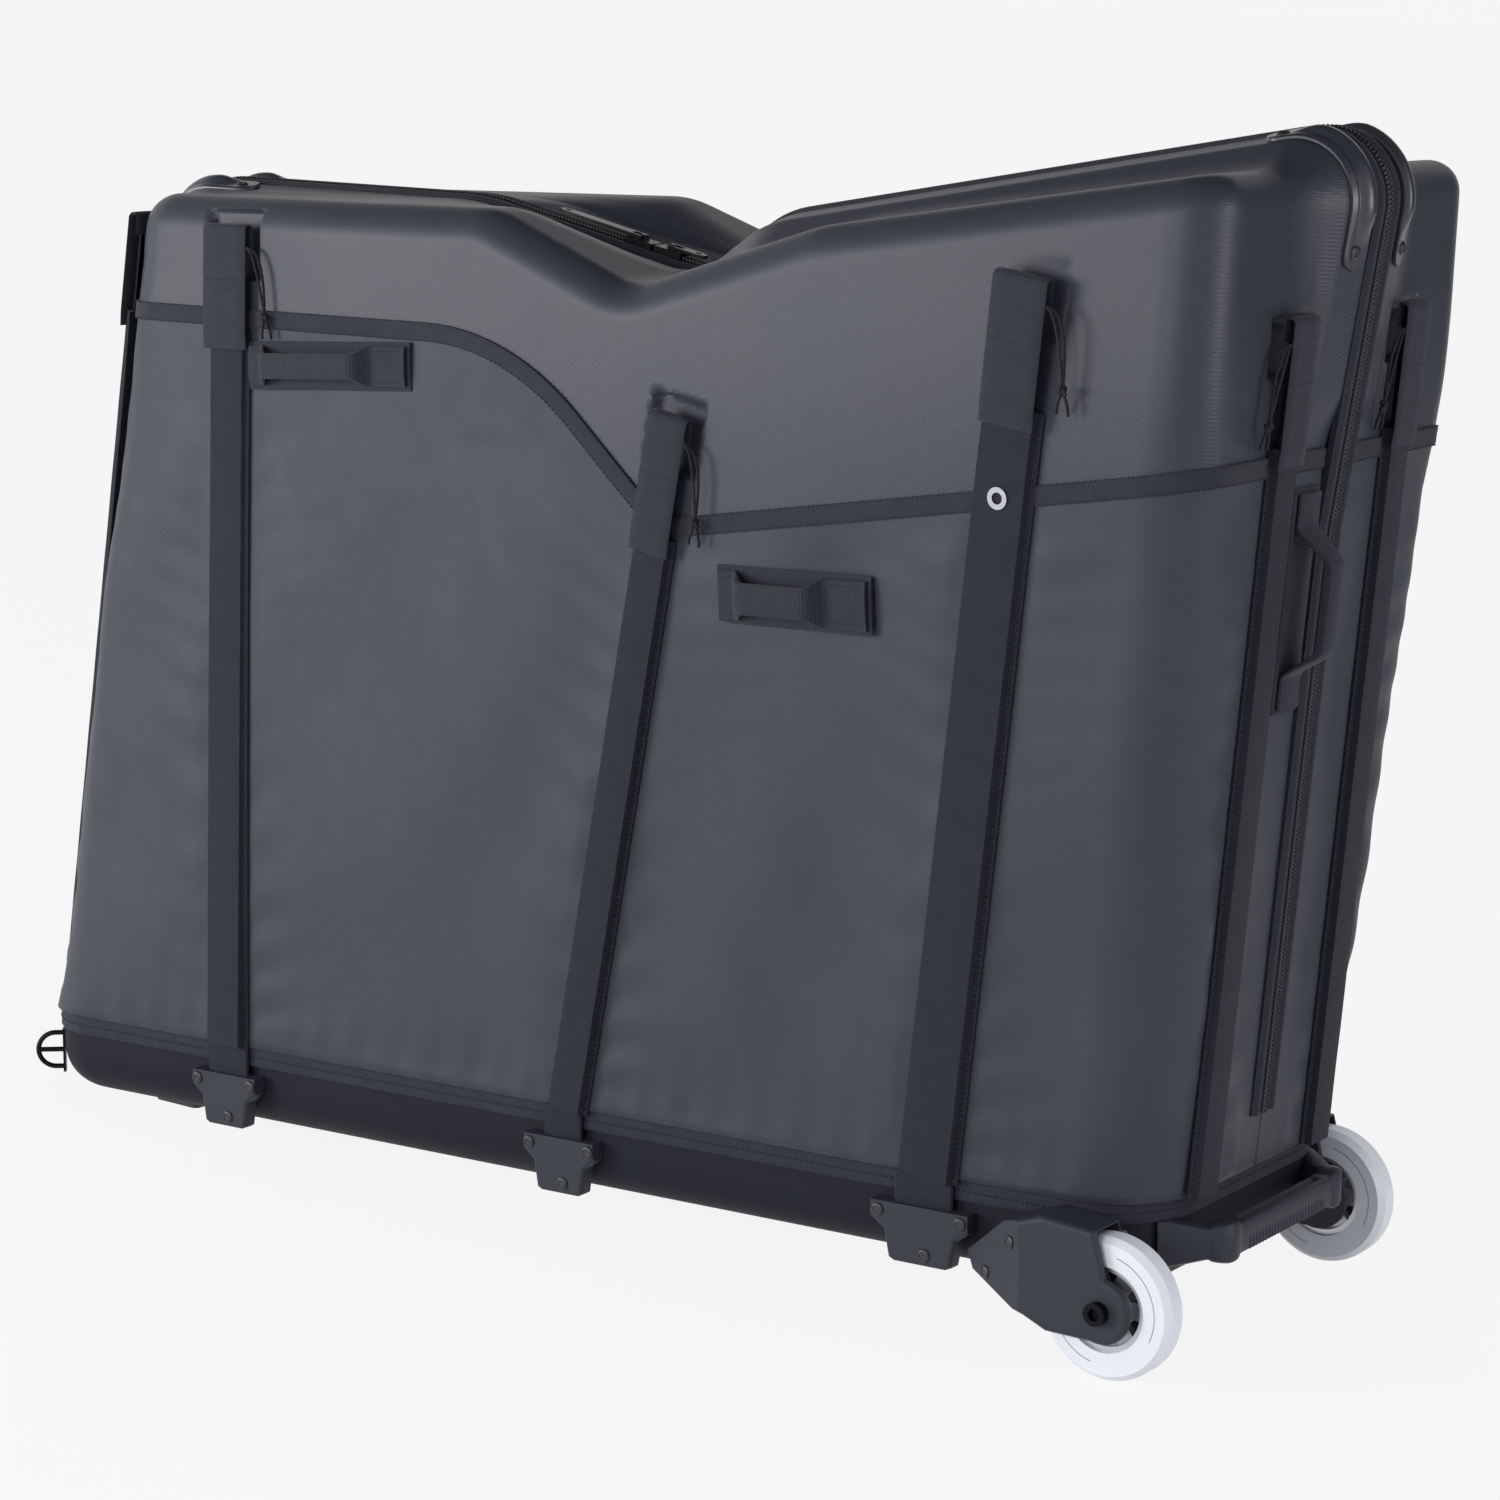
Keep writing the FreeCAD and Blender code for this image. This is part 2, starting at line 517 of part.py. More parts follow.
def build_bracket():
    """A moulded hood and two cheeks round the wheel, tapering forward to a toe on the tray."""
    bracket = new_body("left_wheel_bracket")
    inner_face = "tray_half_width + fit_gap"
    depth = "bracket_outside - tray_half_width - fit_gap"
    side = new_sketch(bracket, "XZ_Plane", "0", "0", inner_face)
    draw_outline(side, [
        ("-bracket_reach", "bracket_top * 0.6"), ("-bracket_reach * 0.95", "ground_clearance + bracket_toe"),
        ("-bracket_reach * 0.5", "bracket_low + bracket_toe"), ("-bracket_nose * 1.8", "bracket_low"),
        ("-bracket_nose * 0.3", "wheel_diameter / 2 - bracket_nose * 0.95"), ("bracket_nose * 0.8", "wheel_diameter / 2"),
        ("bracket_tail", "wheel_diameter / 2 + bracket_nose"), ("-bracket_tail", "bracket_top - bracket_tail"),
        ("-bracket_reach * 0.38", "bracket_top"), ("-bracket_reach * 0.66", "bracket_top * 0.9")])
    pad(bracket, side, depth)
    nose = new_sketch(bracket, "XZ_Plane", "0", "0", inner_face)
    draw_circle(nose, "0", "wheel_diameter / 2", "2 * bracket_nose")
    pad(bracket, nose, depth)
    taper = new_sketch(bracket, "XY_Plane", "0", "0", "-bracket_low")
    draw_outline(taper, [
        ("-bracket_reach - overrun", "-(tray_half_width + bracket_toe)"),
        ("-bracket_reach", "-(tray_half_width + bracket_toe)"), ("-bracket_taper", "-bracket_outside"),
        ("-bracket_taper", "-(bracket_outside + overrun)"), ("-bracket_reach - overrun", "-(bracket_outside + overrun)")])
    pocket(bracket, taper, "bracket_top + 2 * bracket_low")
    outer = -d.bracket_outside
    fillet(bracket, "bracket_round", lambda edge: edge.BoundBox.YMax < outer + d.contact
           and edge.BoundBox.ZMin > d.bracket_low * 0.5 and edge.BoundBox.XMax > -d.bracket_taper + d.contact)
    well = new_sketch(bracket, "XZ_Plane", "0", "0", "tray_half_width + fit_gap + bracket_cheek")
    draw_circle(well, "0", "wheel_diameter / 2", "wheel_diameter + 2 * wheel_room")
    pocket(bracket, well, "bracket_outside - tray_half_width - fit_gap - 2 * bracket_cheek")
    hole = new_sketch(bracket, "XZ_Plane", "0", "0", inner_face)
    draw_circle(hole, "0", "wheel_diameter / 2", "axle_diameter + 2 * axle_play")
    pocket(bracket, hole, depth)
    relief = new_sketch(bracket, "XZ_Plane", "0", "0", inner_face)
    rim = "ground_clearance + tray_height"
    draw_box(relief, "-bracket_reach", rim + " - hem_width - fit_gap", "bracket_nose", rim)
    pocket(bracket, relief, "hem_thickness")
    keep(bracket, "left_wheel_bracket")
    mirror(bracket, "right_wheel_bracket")


# Base tray, its binding tape and the mouldings on it

def tray_outline(sketch, grow):
    draw_box(sketch, "-(tray_front + %s)" % grow, "-(tray_half_width + %s)" % grow,
             "tray_rear + " + grow, "tray_half_width + " + grow)


def at_front(edge):
    return edge.CenterOfMass.x < 0


def build_tray():
    tray = new_body("base_tray")
    plan = new_sketch(tray, "XY_Plane", "0", "0", "ground_clearance")
    tray_outline(plan, "0")
    pad(tray, plan, "tray_height")
    fillet(tray, "tray_front_corner", lambda edge: upright(edge) and at_front(edge))
    fillet(tray, "tray_rear_corner", lambda edge: upright(edge) and edge.CenterOfMass.x > 0)
    floor = d.ground_clearance
    fillet(tray, "tray_bottom_round", lambda edge: edge.BoundBox.ZMax < floor + d.contact)
    roof = ["Face%d" % number for number, face in enumerate(tray.Shape.Faces, start=1)
            if face.BoundBox.ZMin > rim_height - d.contact]
    rounded = tray.Tip
    hollow = tray.newObject("PartDesign::Thickness", "base_tray_hollow")
    hollow.Base = (rounded, roof)
    hollow.Reversed = True
    bind(hollow, "Value", "tray_wall")
    doc.recompute()
    keep(tray, "base_tray")

    hem = new_body("base_hem")
    plan = new_sketch(hem, "XY_Plane", "0", "0", "ground_clearance + tray_height - hem_width")
    tray_outline(plan, "hem_thickness")
    tray_outline(plan, "contact")
    pad(hem, plan, "hem_width")
    edge_out = d.tray_half_width + d.hem_thickness - d.contact
    for grow, outside in (("hem_thickness", True), ("contact", False)):
        for corner, ahead in (("tray_front_corner", True), ("tray_rear_corner", False)):
            fillet(hem, "%s + %s" % (corner, grow), lambda edge: upright(edge) and at_front(edge) == ahead
                   and (abs(edge.CenterOfMass.y) > edge_out) == outside and edge.Length > d.hem_width / 2
                   and len(edge.Vertexes) == 2 and sharp(hem, edge))
    keep(hem, "base_hem")

    pads = []
    lean = "lean_degrees * 1 deg"
    front, rear = "(pad_ahead + pad_length / 2)", "(pad_ahead - pad_length / 2)"
    for side in (-1, 1):
        block = new_body("front_pad")
        profile = new_sketch(block, "XZ_Plane", "0", "0", "%d * pad_spread - pad_width / 2" % side)

        def floor(place):
            return "wheel_diameter / 2 * (1 - 1 / cos(%s)) + %s * tan(%s)" % (lean, place, lean)

        draw_outline(profile, [("-" + front, floor(front)), ("-" + rear, floor(rear)),
                               ("-" + rear, "ground_clearance - contact"), ("-" + front, "ground_clearance - contact")])
        pad(block, profile, "pad_width")
        fillet(block, "pad_round", upright)
        pads.append(block)
    pair = doc.addObject("Part::Compound", "front_pads")
    pair.Links = pads
    keep(pair, "front_pads")


def sharp(owner, edge):
    """True where the two faces at an edge meet at an angle, so it isn't already rounded."""
    faces = owner.Shape.ancestorsOfType(edge, Part.Face)
    middle = edge.CenterOfMass
    normals = [face.normalAt(*face.Surface.parameter(middle)) for face in faces]
    return len(normals) == 2 and abs(normals[0].dot(normals[1])) < 0.5


def build_pull_handle():
    """A back plate with two ears, two arms and a bar with grip notches underneath."""
    handle = new_body("rear_pull_handle")
    wall = "tray_rear + contact + "

    def slab(low, high, shape):
        sketch = new_sketch(handle, "YZ_Plane", "0", "0", wall + low)
        draw_outline(sketch, shape)
        return pad(handle, sketch, "%s - (%s)" % (high, low))

    half, ear = "handle_span / 2", "(handle_span / 2 - handle_ear)"
    slab("0", "handle_plate", [
        ("-" + half, "handle_low + handle_plate"), ("-" + ear, "handle_low"), (ear, "handle_low"),
        (half, "handle_low + handle_plate"), (half, "handle_high - handle_plate"),
        (half + " - handle_plate", "handle_high"), (ear, "handle_high"), (ear + " - handle_plate", "handle_waist"),
        ("-%s + handle_plate" % ear, "handle_waist"), ("-" + ear, "handle_high"),
        ("-%s + handle_plate" % half, "handle_high"), ("-" + half, "handle_high - handle_plate")])
    low, high = "handle_bar_low", "handle_bar_high"
    for side in (-1, 1):
        near, far = "%d * (handle_span / 2 - handle_arm)" % side, "%d * (handle_span / 2)" % side
        slab("handle_plate - contact", "handle_reach - handle_bar", [(near, low), (far, low), (far, high), (near, high)])
    slab("handle_reach - handle_bar - contact", "handle_reach", [("-" + half, low), (half, low), (half, high), ("-" + half, high)])
    outer = d.tray_rear + d.contact + d.handle_reach
    fillet(handle, "handle_round", lambda edge: abs(edge.CenterOfMass.x - outer) < d.contact)
    notch = new_sketch(handle, "XZ_Plane", "0", "0", "-grip_count * grip_pitch / 2")
    inside, outside = wall + "handle_reach - handle_bar - grip_depth", wall + "handle_reach - handle_bar + grip_depth"
    draw_box(notch, inside, "handle_bar_low - grip_depth", outside, "handle_bar_low + grip_depth")
    cut = pocket(handle, notch, "grip_width")
    row = handle.newObject("PartDesign::LinearPattern", "rear_pull_handle_grip")
    row.Originals = [cut]
    row.Direction = (notch, ["N_Axis"])
    bind(row, "Length", "(grip_count - 1) * grip_pitch")
    bind(row, "Occurrences", "grip_count")
    handle.Tip = row
    doc.recompute()
    keep(handle, "rear_pull_handle")


def build_front_rings():
    """Two lashing rings at the tray's front corners: a foot, a bowed rod and a centre web."""
    rings = []
    centre = Vector(d.tray_front_corner - d.tray_front, d.tray_front_corner - d.tray_half_width, 0)
    turn = math.radians(d.ring_turn)
    outward = Vector(-math.cos(turn), -math.sin(turn), 0)
    place = centre + outward * (d.tray_front_corner + d.contact) + Vector(0, 0, d.ring_height)
    rod, bow = d.ring_rod / 2, d.ring_bow
    for side in (1, -1):
        n = Vector(outward.x, outward.y * side, 0)
        origin = Vector(place.x, place.y * side, place.z)
        leg = d.ring_leg
        hoop = Part.makeTorus(bow, rod, Vector(0, 0, leg), Vector(1, 0, 0))
        room = Part.makeBox(2 * bow, 4 * bow, 2 * bow, Vector(-bow, -2 * bow, leg))
        loop = hoop.common(room)
        for up in (-bow, bow):
            loop = loop.fuse(Part.makeCylinder(rod, leg, Vector(0, up, 0), Vector(0, 0, 1)))
        loop = loop.fuse(Part.makeCylinder(rod, leg + bow, Vector(0, 0, 0), Vector(0, 0, 1)))
        foot = Part.makeBox(4 * rod, 2 * bow + 4 * rod, rod, Vector(-2 * rod, -bow - 2 * rod, 0))
        frame = make_frame(origin, Vector(0, 0, 1), n)
        rings.append(loop.fuse(foot).transformed(frame.matrix, True))
    plain("front_rings", Part.makeCompound(rings))


# Plan of one half at any height, and the places on its faces

def level_share(height):
    return (height - rim_height) / (d.flare_height - rim_height)


def blend(low, high, height):
    return low + (high - low) * level_share(height)


def front_x(height):
    return -blend(d.side_front, d.flare_front, height)


def rear_x(height):
    return blend(d.side_rear, d.flare_rear, height)


def side_half(x, height):
    """Half width of the flared side at a place below the flare's top."""
    along = (x - front_x(height)) / (rear_x(height) - front_x(height))
    front = blend(d.side_half_width, d.flare_front_half, height)
    rear = blend(d.side_half_width, d.flare_rear_half, height)
    return front + (rear - front) * along


STAY_TABLE = SimpleNamespace(
    foot_shares=(0.2087, 0.5291, 0.8301),
    head_shares=(0.2087, 0.6330, 0.9233),
    low_shares=(0.7465, 0.5790, 0.7285),
    high_shares=(0.8670, 0.7064, 0.8573),
    sleeves=(d.sleeve_front, d.sleeve_middle, d.sleeve_rear),
    flaps=(d.flap_front, d.flap_middle, d.flap_rear))
END_TABLE = SimpleNamespace(low_shares=(0.7590, 0.6911), high_shares=(0.8726, 0.8186))
SIDE_GRIP_SHARES = (((0.2320, 0.7310), (0.3883, 0.7410)), ((0.6728, 0.5457), (0.7942, 0.5485)))
RIDGE_SHARES = ((1.0874, 1.0, 0.062), (0.6291, 0.8961, 0.111), (0.5612, 0.8310, 0.069),
                (0.3573, 0.9017, 0.277), (0.0728, 0.9141, 0.062))
RIDGE_KNEE_SHARES = (0.6205, 0.6205)
ROOF_SHARES = ((1.2, 0.987, 0.0), (0.7408, 0.8975, 0.166), (0.5806, 0.8310, 0.083), (0.4544, 0.9017, 0.111), (-0.1, 0.9045, 0.0))
TRIM_SHARES = ((1.2, 0.7320, 0.0), (0.6019, 0.6080, 0.062), (0.4544, 0.7881, 0.111), (-0.1, 0.7922, 0.0))
CORD_SIDES = 8
CORD_SHARES = ((0.0, 0.18), (0.40, 0.18), (0.90, 0.36), (1.15, 0.70), (1.18, 1.0))
CORD_BEND_SHARE = 0.45
KNOT_END_SHARE = 0.45
GUARD_LEG_SHARES = ((0.72, 1.0), (0.92, 0.7))


def along_case(share):
    return -d.side_front + share * (d.side_front + d.side_rear)


def up_case(share):
    return rim_height + share * (d.ridge_peak - rim_height)


def outline_points(shares):
    return [(along_case(x), up_case(z), turn * (d.ridge_peak - rim_height)) for x, z, turn in shares]


# Paths of straight runs with tangent arcs at their corners

def unit(start, end):
    length = math.hypot(end[0] - start[0], end[1] - start[1])
    return ((end[0] - start[0]) / length, (end[1] - start[1]) / length)


def shift_points(points, distance, closed=True):
    """Move a path of (u, v, radius) points to the right of its own run, keeping it parallel."""
    moved = []
    count = len(points)
    for index, (u, v, radius) in enumerate(points):
        runs = []
        if closed or index > 0:
            runs.append(unit(points[index - 1], points[index]))
        if closed or index < count - 1:
            runs.append(unit(points[index], points[(index + 1) % count]))
        sides = [(run[1], -run[0]) for run in runs]
        if len(sides) == 1:
            miter, bend = sides[0], 0
        else:
            share = 1 + sides[0][0] * sides[1][0] + sides[0][1] * sides[1][1]
            miter = ((sides[0][0] + sides[1][0]) / share, (sides[0][1] + sides[1][1]) / share)
            bend = math.copysign(1, runs[0][0] * runs[1][1] - runs[0][1] * runs[1][0])
        turn = radius + bend * distance if radius > 0 else 0
        moved.append((u + miter[0] * distance, v + miter[1] * distance, turn))
    return moved


def path_edges(points, lift, closed=True):
    """Edges of a path; lift turns (u, v) into a place in space."""
    count = len(points)
    corners = []
    for index, (u, v, radius) in enumerate(points):
        end = not closed and index in (0, count - 1)
        if end or radius <= 0:
            corners.append(((u, v), None, (u, v)))
            continue
        come = unit(points[index - 1], points[index])
        leave = unit(points[index], points[(index + 1) % count])
        cross = come[0] * leave[1] - come[1] * leave[0]
        turn = math.atan2(cross, come[0] * leave[0] + come[1] * leave[1])
        reach = radius * math.tan(abs(turn) / 2)
        side = math.copysign(radius, turn)
        start = (u - come[0] * reach, v - come[1] * reach)
        centre = (start[0] - come[1] * side, start[1] + come[0] * side)
        away = unit(centre, (u, v))
        middle = (centre[0] + away[0] * radius, centre[1] + away[1] * radius)
        corners.append((start, middle, (u + leave[0] * reach, v + leave[1] * reach)))
    edges = []
    for index, (start, middle, stop) in enumerate(corners):
        if middle:
            edges.append(Part.Arc(lift(start), lift(middle), lift(stop)).toShape())
        if closed or index < count - 1:
            edges.append(Part.makeLine(lift(stop), lift(corners[(index + 1) % count][0])))
    return edges


def on_side(y):
    return lambda place: Vector(place[0], y, place[1])


def on_level(z):
    return lambda place: Vector(place[0], place[1], z)


def side_prism(points, near, far):
    """A closed outline in the side view, run across the case from near to far."""
    face = Part.Face(Part.Wire(path_edges(points, on_side(near))))
    return face.extrude(Vector(0, far - near, 0))


def band_outline(points, low, high):
    """Closed edges' points of a strip that follows an open path between two distances."""
    outer = path_edges(shift_points(points, high, False), on_side(0), False)
    inner = path_edges(shift_points(points, low, False), on_side(0), False)
    ends = [Part.makeLine(inner[0].firstVertex(True).Point, outer[0].firstVertex(True).Point),
            Part.makeLine(outer[-1].lastVertex(True).Point, inner[-1].lastVertex(True).Point)]
    return Part.Face(Part.Wire(Part.__sortEdges__(outer + inner + ends)))


# The flared half: a ruled block, a roof with a dip, and the zip ridge along the middle

def plan_points(front, rear, front_half, rear_half, front_corner, rear_corner, grow, inner):
    return [(-front - grow, inner, 0), (-front - grow, -front_half - grow, front_corner + grow),
            (rear + grow, -rear_half - grow, rear_corner + grow), (rear + grow, inner, 0)]


def half_block(grow, inner):
    """Ruled block through three plan outlines, grown outward by one distance."""
    levels = (
        (rim_height, d.side_front, d.side_rear, d.side_half_width, d.side_half_width,
         d.rim_front_corner, d.rim_rear_corner),
        (d.flare_height, d.flare_front, d.flare_rear, d.flare_front_half, d.flare_rear_half,
         d.flare_front_corner, d.flare_rear_corner),
        (d.crown_height, d.crown_front, d.crown_rear, d.crown_front_half, d.crown_rear_half,
         d.crown_front_corner, d.crown_rear_corner))
    wires = [Part.Wire(path_edges(plan_points(*level[1:], grow, inner), on_level(level[0]))) for level in levels]
    return Part.makeLoft(wires, True, True)


def roof_face(face):
    middle = face.CenterOfMass
    normal = face.normalAt(*face.Surface.parameter(middle))
    return abs(normal.z) > 0.5 and middle.z > d.flare_height


def roofed_block(grow, inner):
    """The block under its roof, with the roof's outer edge rounded."""
    roof = [(along_case(-0.1), rim_height - d.overrun, 0), (along_case(1.2), rim_height - d.overrun, 0)]
    roof += outline_points(ROOF_SHARES)
    wide = d.crown_rear_half + 2 * d.overrun
    block = half_block(grow, inner).common(side_prism(shift_points(roof, grow), -wide, wide))
    edges = []
    for edge in block.Edges:
        faces = block.ancestorsOfType(edge, Part.Face)
        if sum(roof_face(face) for face in faces) == 1 and edge.CenterOfMass.y < inner - 1:
            edges.append(edge)
    return block.makeFillet(d.shell_round + grow, edges)


def ridge_run(low):
    """Zip line in the side view from the rear's lower end over the top to the front's."""
    knee_rear, knee_front = (up_case(share) for share in RIDGE_KNEE_SHARES)
    stand = d.ridge_proud
    bend = d.ridge_bend
    run = [(rear_x(low) + d.fit_gap, low, 0), (rear_x(knee_rear) + stand, knee_rear, bend)]
    run += outline_points(RIDGE_SHARES)
    return run + [(front_x(knee_front) - stand, knee_front, bend), (front_x(low) - d.fit_gap, low, 0)]


def ridge(grow, start):
    """The ridge: a flat crest, sloping shoulders and a skirt that dies into the roof."""
    run = ridge_run(d.ridge_foot)
    stations = ((start, 0), (-d.crest_half, 0), (-d.shoulder_half, d.shoulder_fall), (-d.skirt_half, d.skirt_fall))
    wires = [Part.Wire(path_edges(shift_points(run, grow - fall), on_side(y))) for y, fall in stations]
    return Part.makeLoft(wires, True, True)


def valley(grow, start):
    """Room over the zip where the roof stands higher than the ridge: it widens upward."""
    points = outline_points(RIDGE_SHARES)
    ahead = tuple((points[3][axis] + points[4][axis]) / 2 for axis in (0, 1))
    run = [(*points[1][:2], 0), points[2], points[3], (*ahead, 0)]
    top = d.crown_height
    stations = ((start, 0), (-d.crest_half, 0), (-d.shoulder_half, d.shoulder_fall), (-d.skirt_half, d.skirt_fall))
    wires = []
    for y, rise in stations:
        line = shift_points(run, grow + rise, False)
        ends = [(line[-1][0], top, 0), (line[0][0], top, 0)]
        wires.append(Part.Wire(path_edges(line + ends, on_side(y))))
    return Part.makeLoft(wires, True, True)


def trim_strip(low, high):
    """Side-view region between two distances below the trim tape's upper line."""
    line = outline_points(TRIM_SHARES)
    upper, lower = shift_points(line, -low, False), shift_points(line, -high, False)
    wide = d.crown_rear_half + 2 * d.overrun
    return side_prism([*upper, *reversed(lower)], -wide, wide)


def outside_of_trim(distance, above):
    """Everything above (or below) a line parallel to the trim tape's upper line."""
    line = shift_points(outline_points(TRIM_SHARES), -distance, False)
    level = d.crown_height + d.overrun if above else rim_height + d.rim_gap
    wide = d.crown_rear_half + 2 * d.overrun
    ends = [(line[-1][0], level, 0), (line[0][0], level, 0)]
    return side_prism(line + ends, -wide, wide)


# Frames on the faces of the left half: w across, u up the stay, n outward

def frame_box(frame, w, u, n):
    box = Part.makeBox(w[1] - w[0], u[1] - u[0], n[1] - n[0], Vector(w[0], u[0], n[0]))
    return box.transformed(frame.matrix, True)


def make_frame(origin, u, n, **more):
    w = u.cross(n)
    matrix = FreeCAD.Matrix(w.x, u.x, n.x, origin.x, w.y, u.y, n.y, origin.y, w.z, u.z, n.z, origin.z, 0, 0, 0, 1)
    return SimpleNamespace(matrix=matrix, origin=origin, w=w, u=u, n=n, **more)


def side_place(x, height):
    return Vector(x, -side_half(x, height), height)


def side_normal(x, height):
    """Outward direction of the left side's flared face."""
    step = d.tape_width
    across = side_place(x + step, height) - side_place(x - step, height)
    up = side_place(x, height + step) - side_place(x, height - step)
    return across.cross(up).normalize() if across.cross(up).y < 0 else up.cross(across).normalize()


def stay_frame(foot, head, across, name, low, high, sleeve, flap):
    """A stay's own frame: it starts at the rim, stands off the cloth and runs up to its head."""
    u = (head - foot).normalize()
    n = across.cross(u).normalize()
    scale = (head - foot).Length / (head.z - foot.z)
    return make_frame(foot + n * d.stay_stand_off, u, n, name=name, low=(low - rim_height) * scale,
                      high=(high - rim_height) * scale, sleeve=sleeve, flap=flap)


def stay_frames():
    frames = []
    table = STAY_TABLE
    for index, name in enumerate(("front", "middle", "rear")):
        low, high = up_case(table.low_shares[index]), up_case(table.high_shares[index])
        foot = side_place(along_case(table.foot_shares[index]), rim_height)
        head = side_place(along_case(table.head_shares[index]), high)
        middle = (foot + head) * 0.5
        across = side_place(middle.x + d.sleeve_rear, middle.z) - side_place(middle.x - d.sleeve_rear, middle.z)
        frames.append(stay_frame(foot, head, across, name, low, high, table.sleeves[index], table.flaps[index]))
    ends = (("front_end", front_x, -d.end_stay_front, Vector(0, -1, 0)), ("rear_end", rear_x, -d.end_stay_rear, Vector(0, 1, 0)))
    for index, (name, face_x, y, across) in enumerate(ends):
        low, high = up_case(END_TABLE.low_shares[index]), up_case(END_TABLE.high_shares[index])
        foot, head = Vector(face_x(rim_height), y, rim_height), Vector(face_x(high), y, high)
        frames.append(stay_frame(foot, head, across, name, low, high, d.sleeve_end, d.flap_end))
    return frames


def above_rim():
    wide = d.crown_rear_half + 2 * d.overrun
    ends = (along_case(-0.1), along_case(1.2))
    low, high = rim_height + d.rim_gap, d.crown_height + d.overrun
    return side_prism([(ends[0], low, 0), (ends[1], low, 0), (ends[1], high, 0), (ends[0], high, 0)], -wide, wide)


def cord_ring(place, way, diameter):
    """A many-sided ring round a cord's line."""
    aside = way.cross(Vector(0, 0, 1)).normalize()
    out = way.cross(aside)
    turns = [2 * math.pi * index / CORD_SIDES for index in range(CORD_SIDES)]
    points = [place + (aside * math.cos(turn) + out * math.sin(turn)) * (diameter / 2) for turn in turns]
    return Part.makePolygon([*points, points[0]])


def cord_tube(frame):
    """A pull cord square out of the flap's edge: straight runs with tangent arcs, ending in a knot."""
    edge, top, out = frame.flap / 2 + d.contact, frame.high, d.cord_stand_off
    places = [Vector(edge + w * d.cord_spread, top - u * d.cord_drop, out) for w, u in CORD_SHARES]
    edges, start = [], places[0]
    for index in range(1, len(places) - 1):
        come, leave = places[index] - places[index - 1], places[index + 1] - places[index]
        turn = come.getAngle(leave)
        radius = CORD_BEND_SHARE * min(come.Length, leave.Length) / math.tan(turn / 2)
        reach = radius * math.tan(turn / 2)
        first = places[index] - come.normalize() * reach
        last = places[index] + leave.normalize() * reach
        inward = (first + last) * 0.5 - places[index]
        sag = radius / math.cos(turn / 2) - radius
        edges.append(Part.makeLine(start, first))
        edges.append(Part.Arc(first, places[index] + inward.normalize() * sag, last).toShape())
        start = last
    edges.append(Part.makeLine(start, places[-1]))
    tube = Part.Wire(edges).makePipeShell([cord_ring(places[0], edges[0].tangentAt(0), d.cord_diameter)], True, False)
    down, rows = edges[-1].tangentAt(0), ((-1, KNOT_END_SHARE), (0, 1), (1, KNOT_END_SHARE))
    rings = [cord_ring(places[-1] + down * (way * d.knot_diameter / 2), down, wide * d.knot_diameter)
             for way, wide in rows]
    return tube.fuse(Part.makeLoft(rings, True, True)).transformed(frame.matrix, True)


def webbing_loop(frame, length, width, rise):
    """A strap handle: two sewn feet and a raised grip between them, run across its width."""
    half, foot = length / 2, d.handle_foot
    turn = d.handle_foot / 3
    path = [(half, 0, 0), (half - foot, 0, turn), (half - foot - rise, rise, turn),
            (foot + rise - half, rise, turn), (foot - half, 0, turn), (-half, 0, 0)]
    strip = band_outline(path, 0, d.webbing).extrude(Vector(0, width, 0))
    strip.translate(Vector(0, -width / 2, 0))
    turned = FreeCAD.Matrix(1, 0, 0, 0, 0, -1, 0, 0, 0, 0, 1, 0, 0, 0, 0, 1)
    return strip.transformed(turned, True).transformed(frame.matrix, True)


def grip_frame(start, end, outward):
    """A frame whose first axis runs along the grip, the second across it and the third outward."""
    along = (end - start).normalize()
    across = outward.cross(along).normalize()
    n = along.cross(across)
    origin = (start + end) * 0.5 + n * d.grip_stand_off
    matrix = FreeCAD.Matrix(along.x, across.x, n.x, origin.x, along.y, across.y, n.y, origin.y,
                            along.z, across.z, n.z, origin.z, 0, 0, 0, 1)
    return SimpleNamespace(matrix=matrix, origin=origin, n=n, length=(end - start).Length)


def side_grip_frames():
    frames = []
    for start, end in SIDE_GRIP_SHARES:
        places = [(along_case(x), up_case(z)) for x, z in (start, end)]
        middle = [(places[0][axis] + places[1][axis]) / 2 for axis in (0, 1)]
        frames.append(grip_frame(side_place(*places[0]), side_place(*places[1]), side_normal(*middle)))
    return frames


def end_grip_frame():
    low, high = (Vector(rear_x(z), -d.end_grip_aside, z) for z in (d.end_grip_low, d.end_grip_high))
    return grip_frame(low, high, Vector(1, 0, 0))


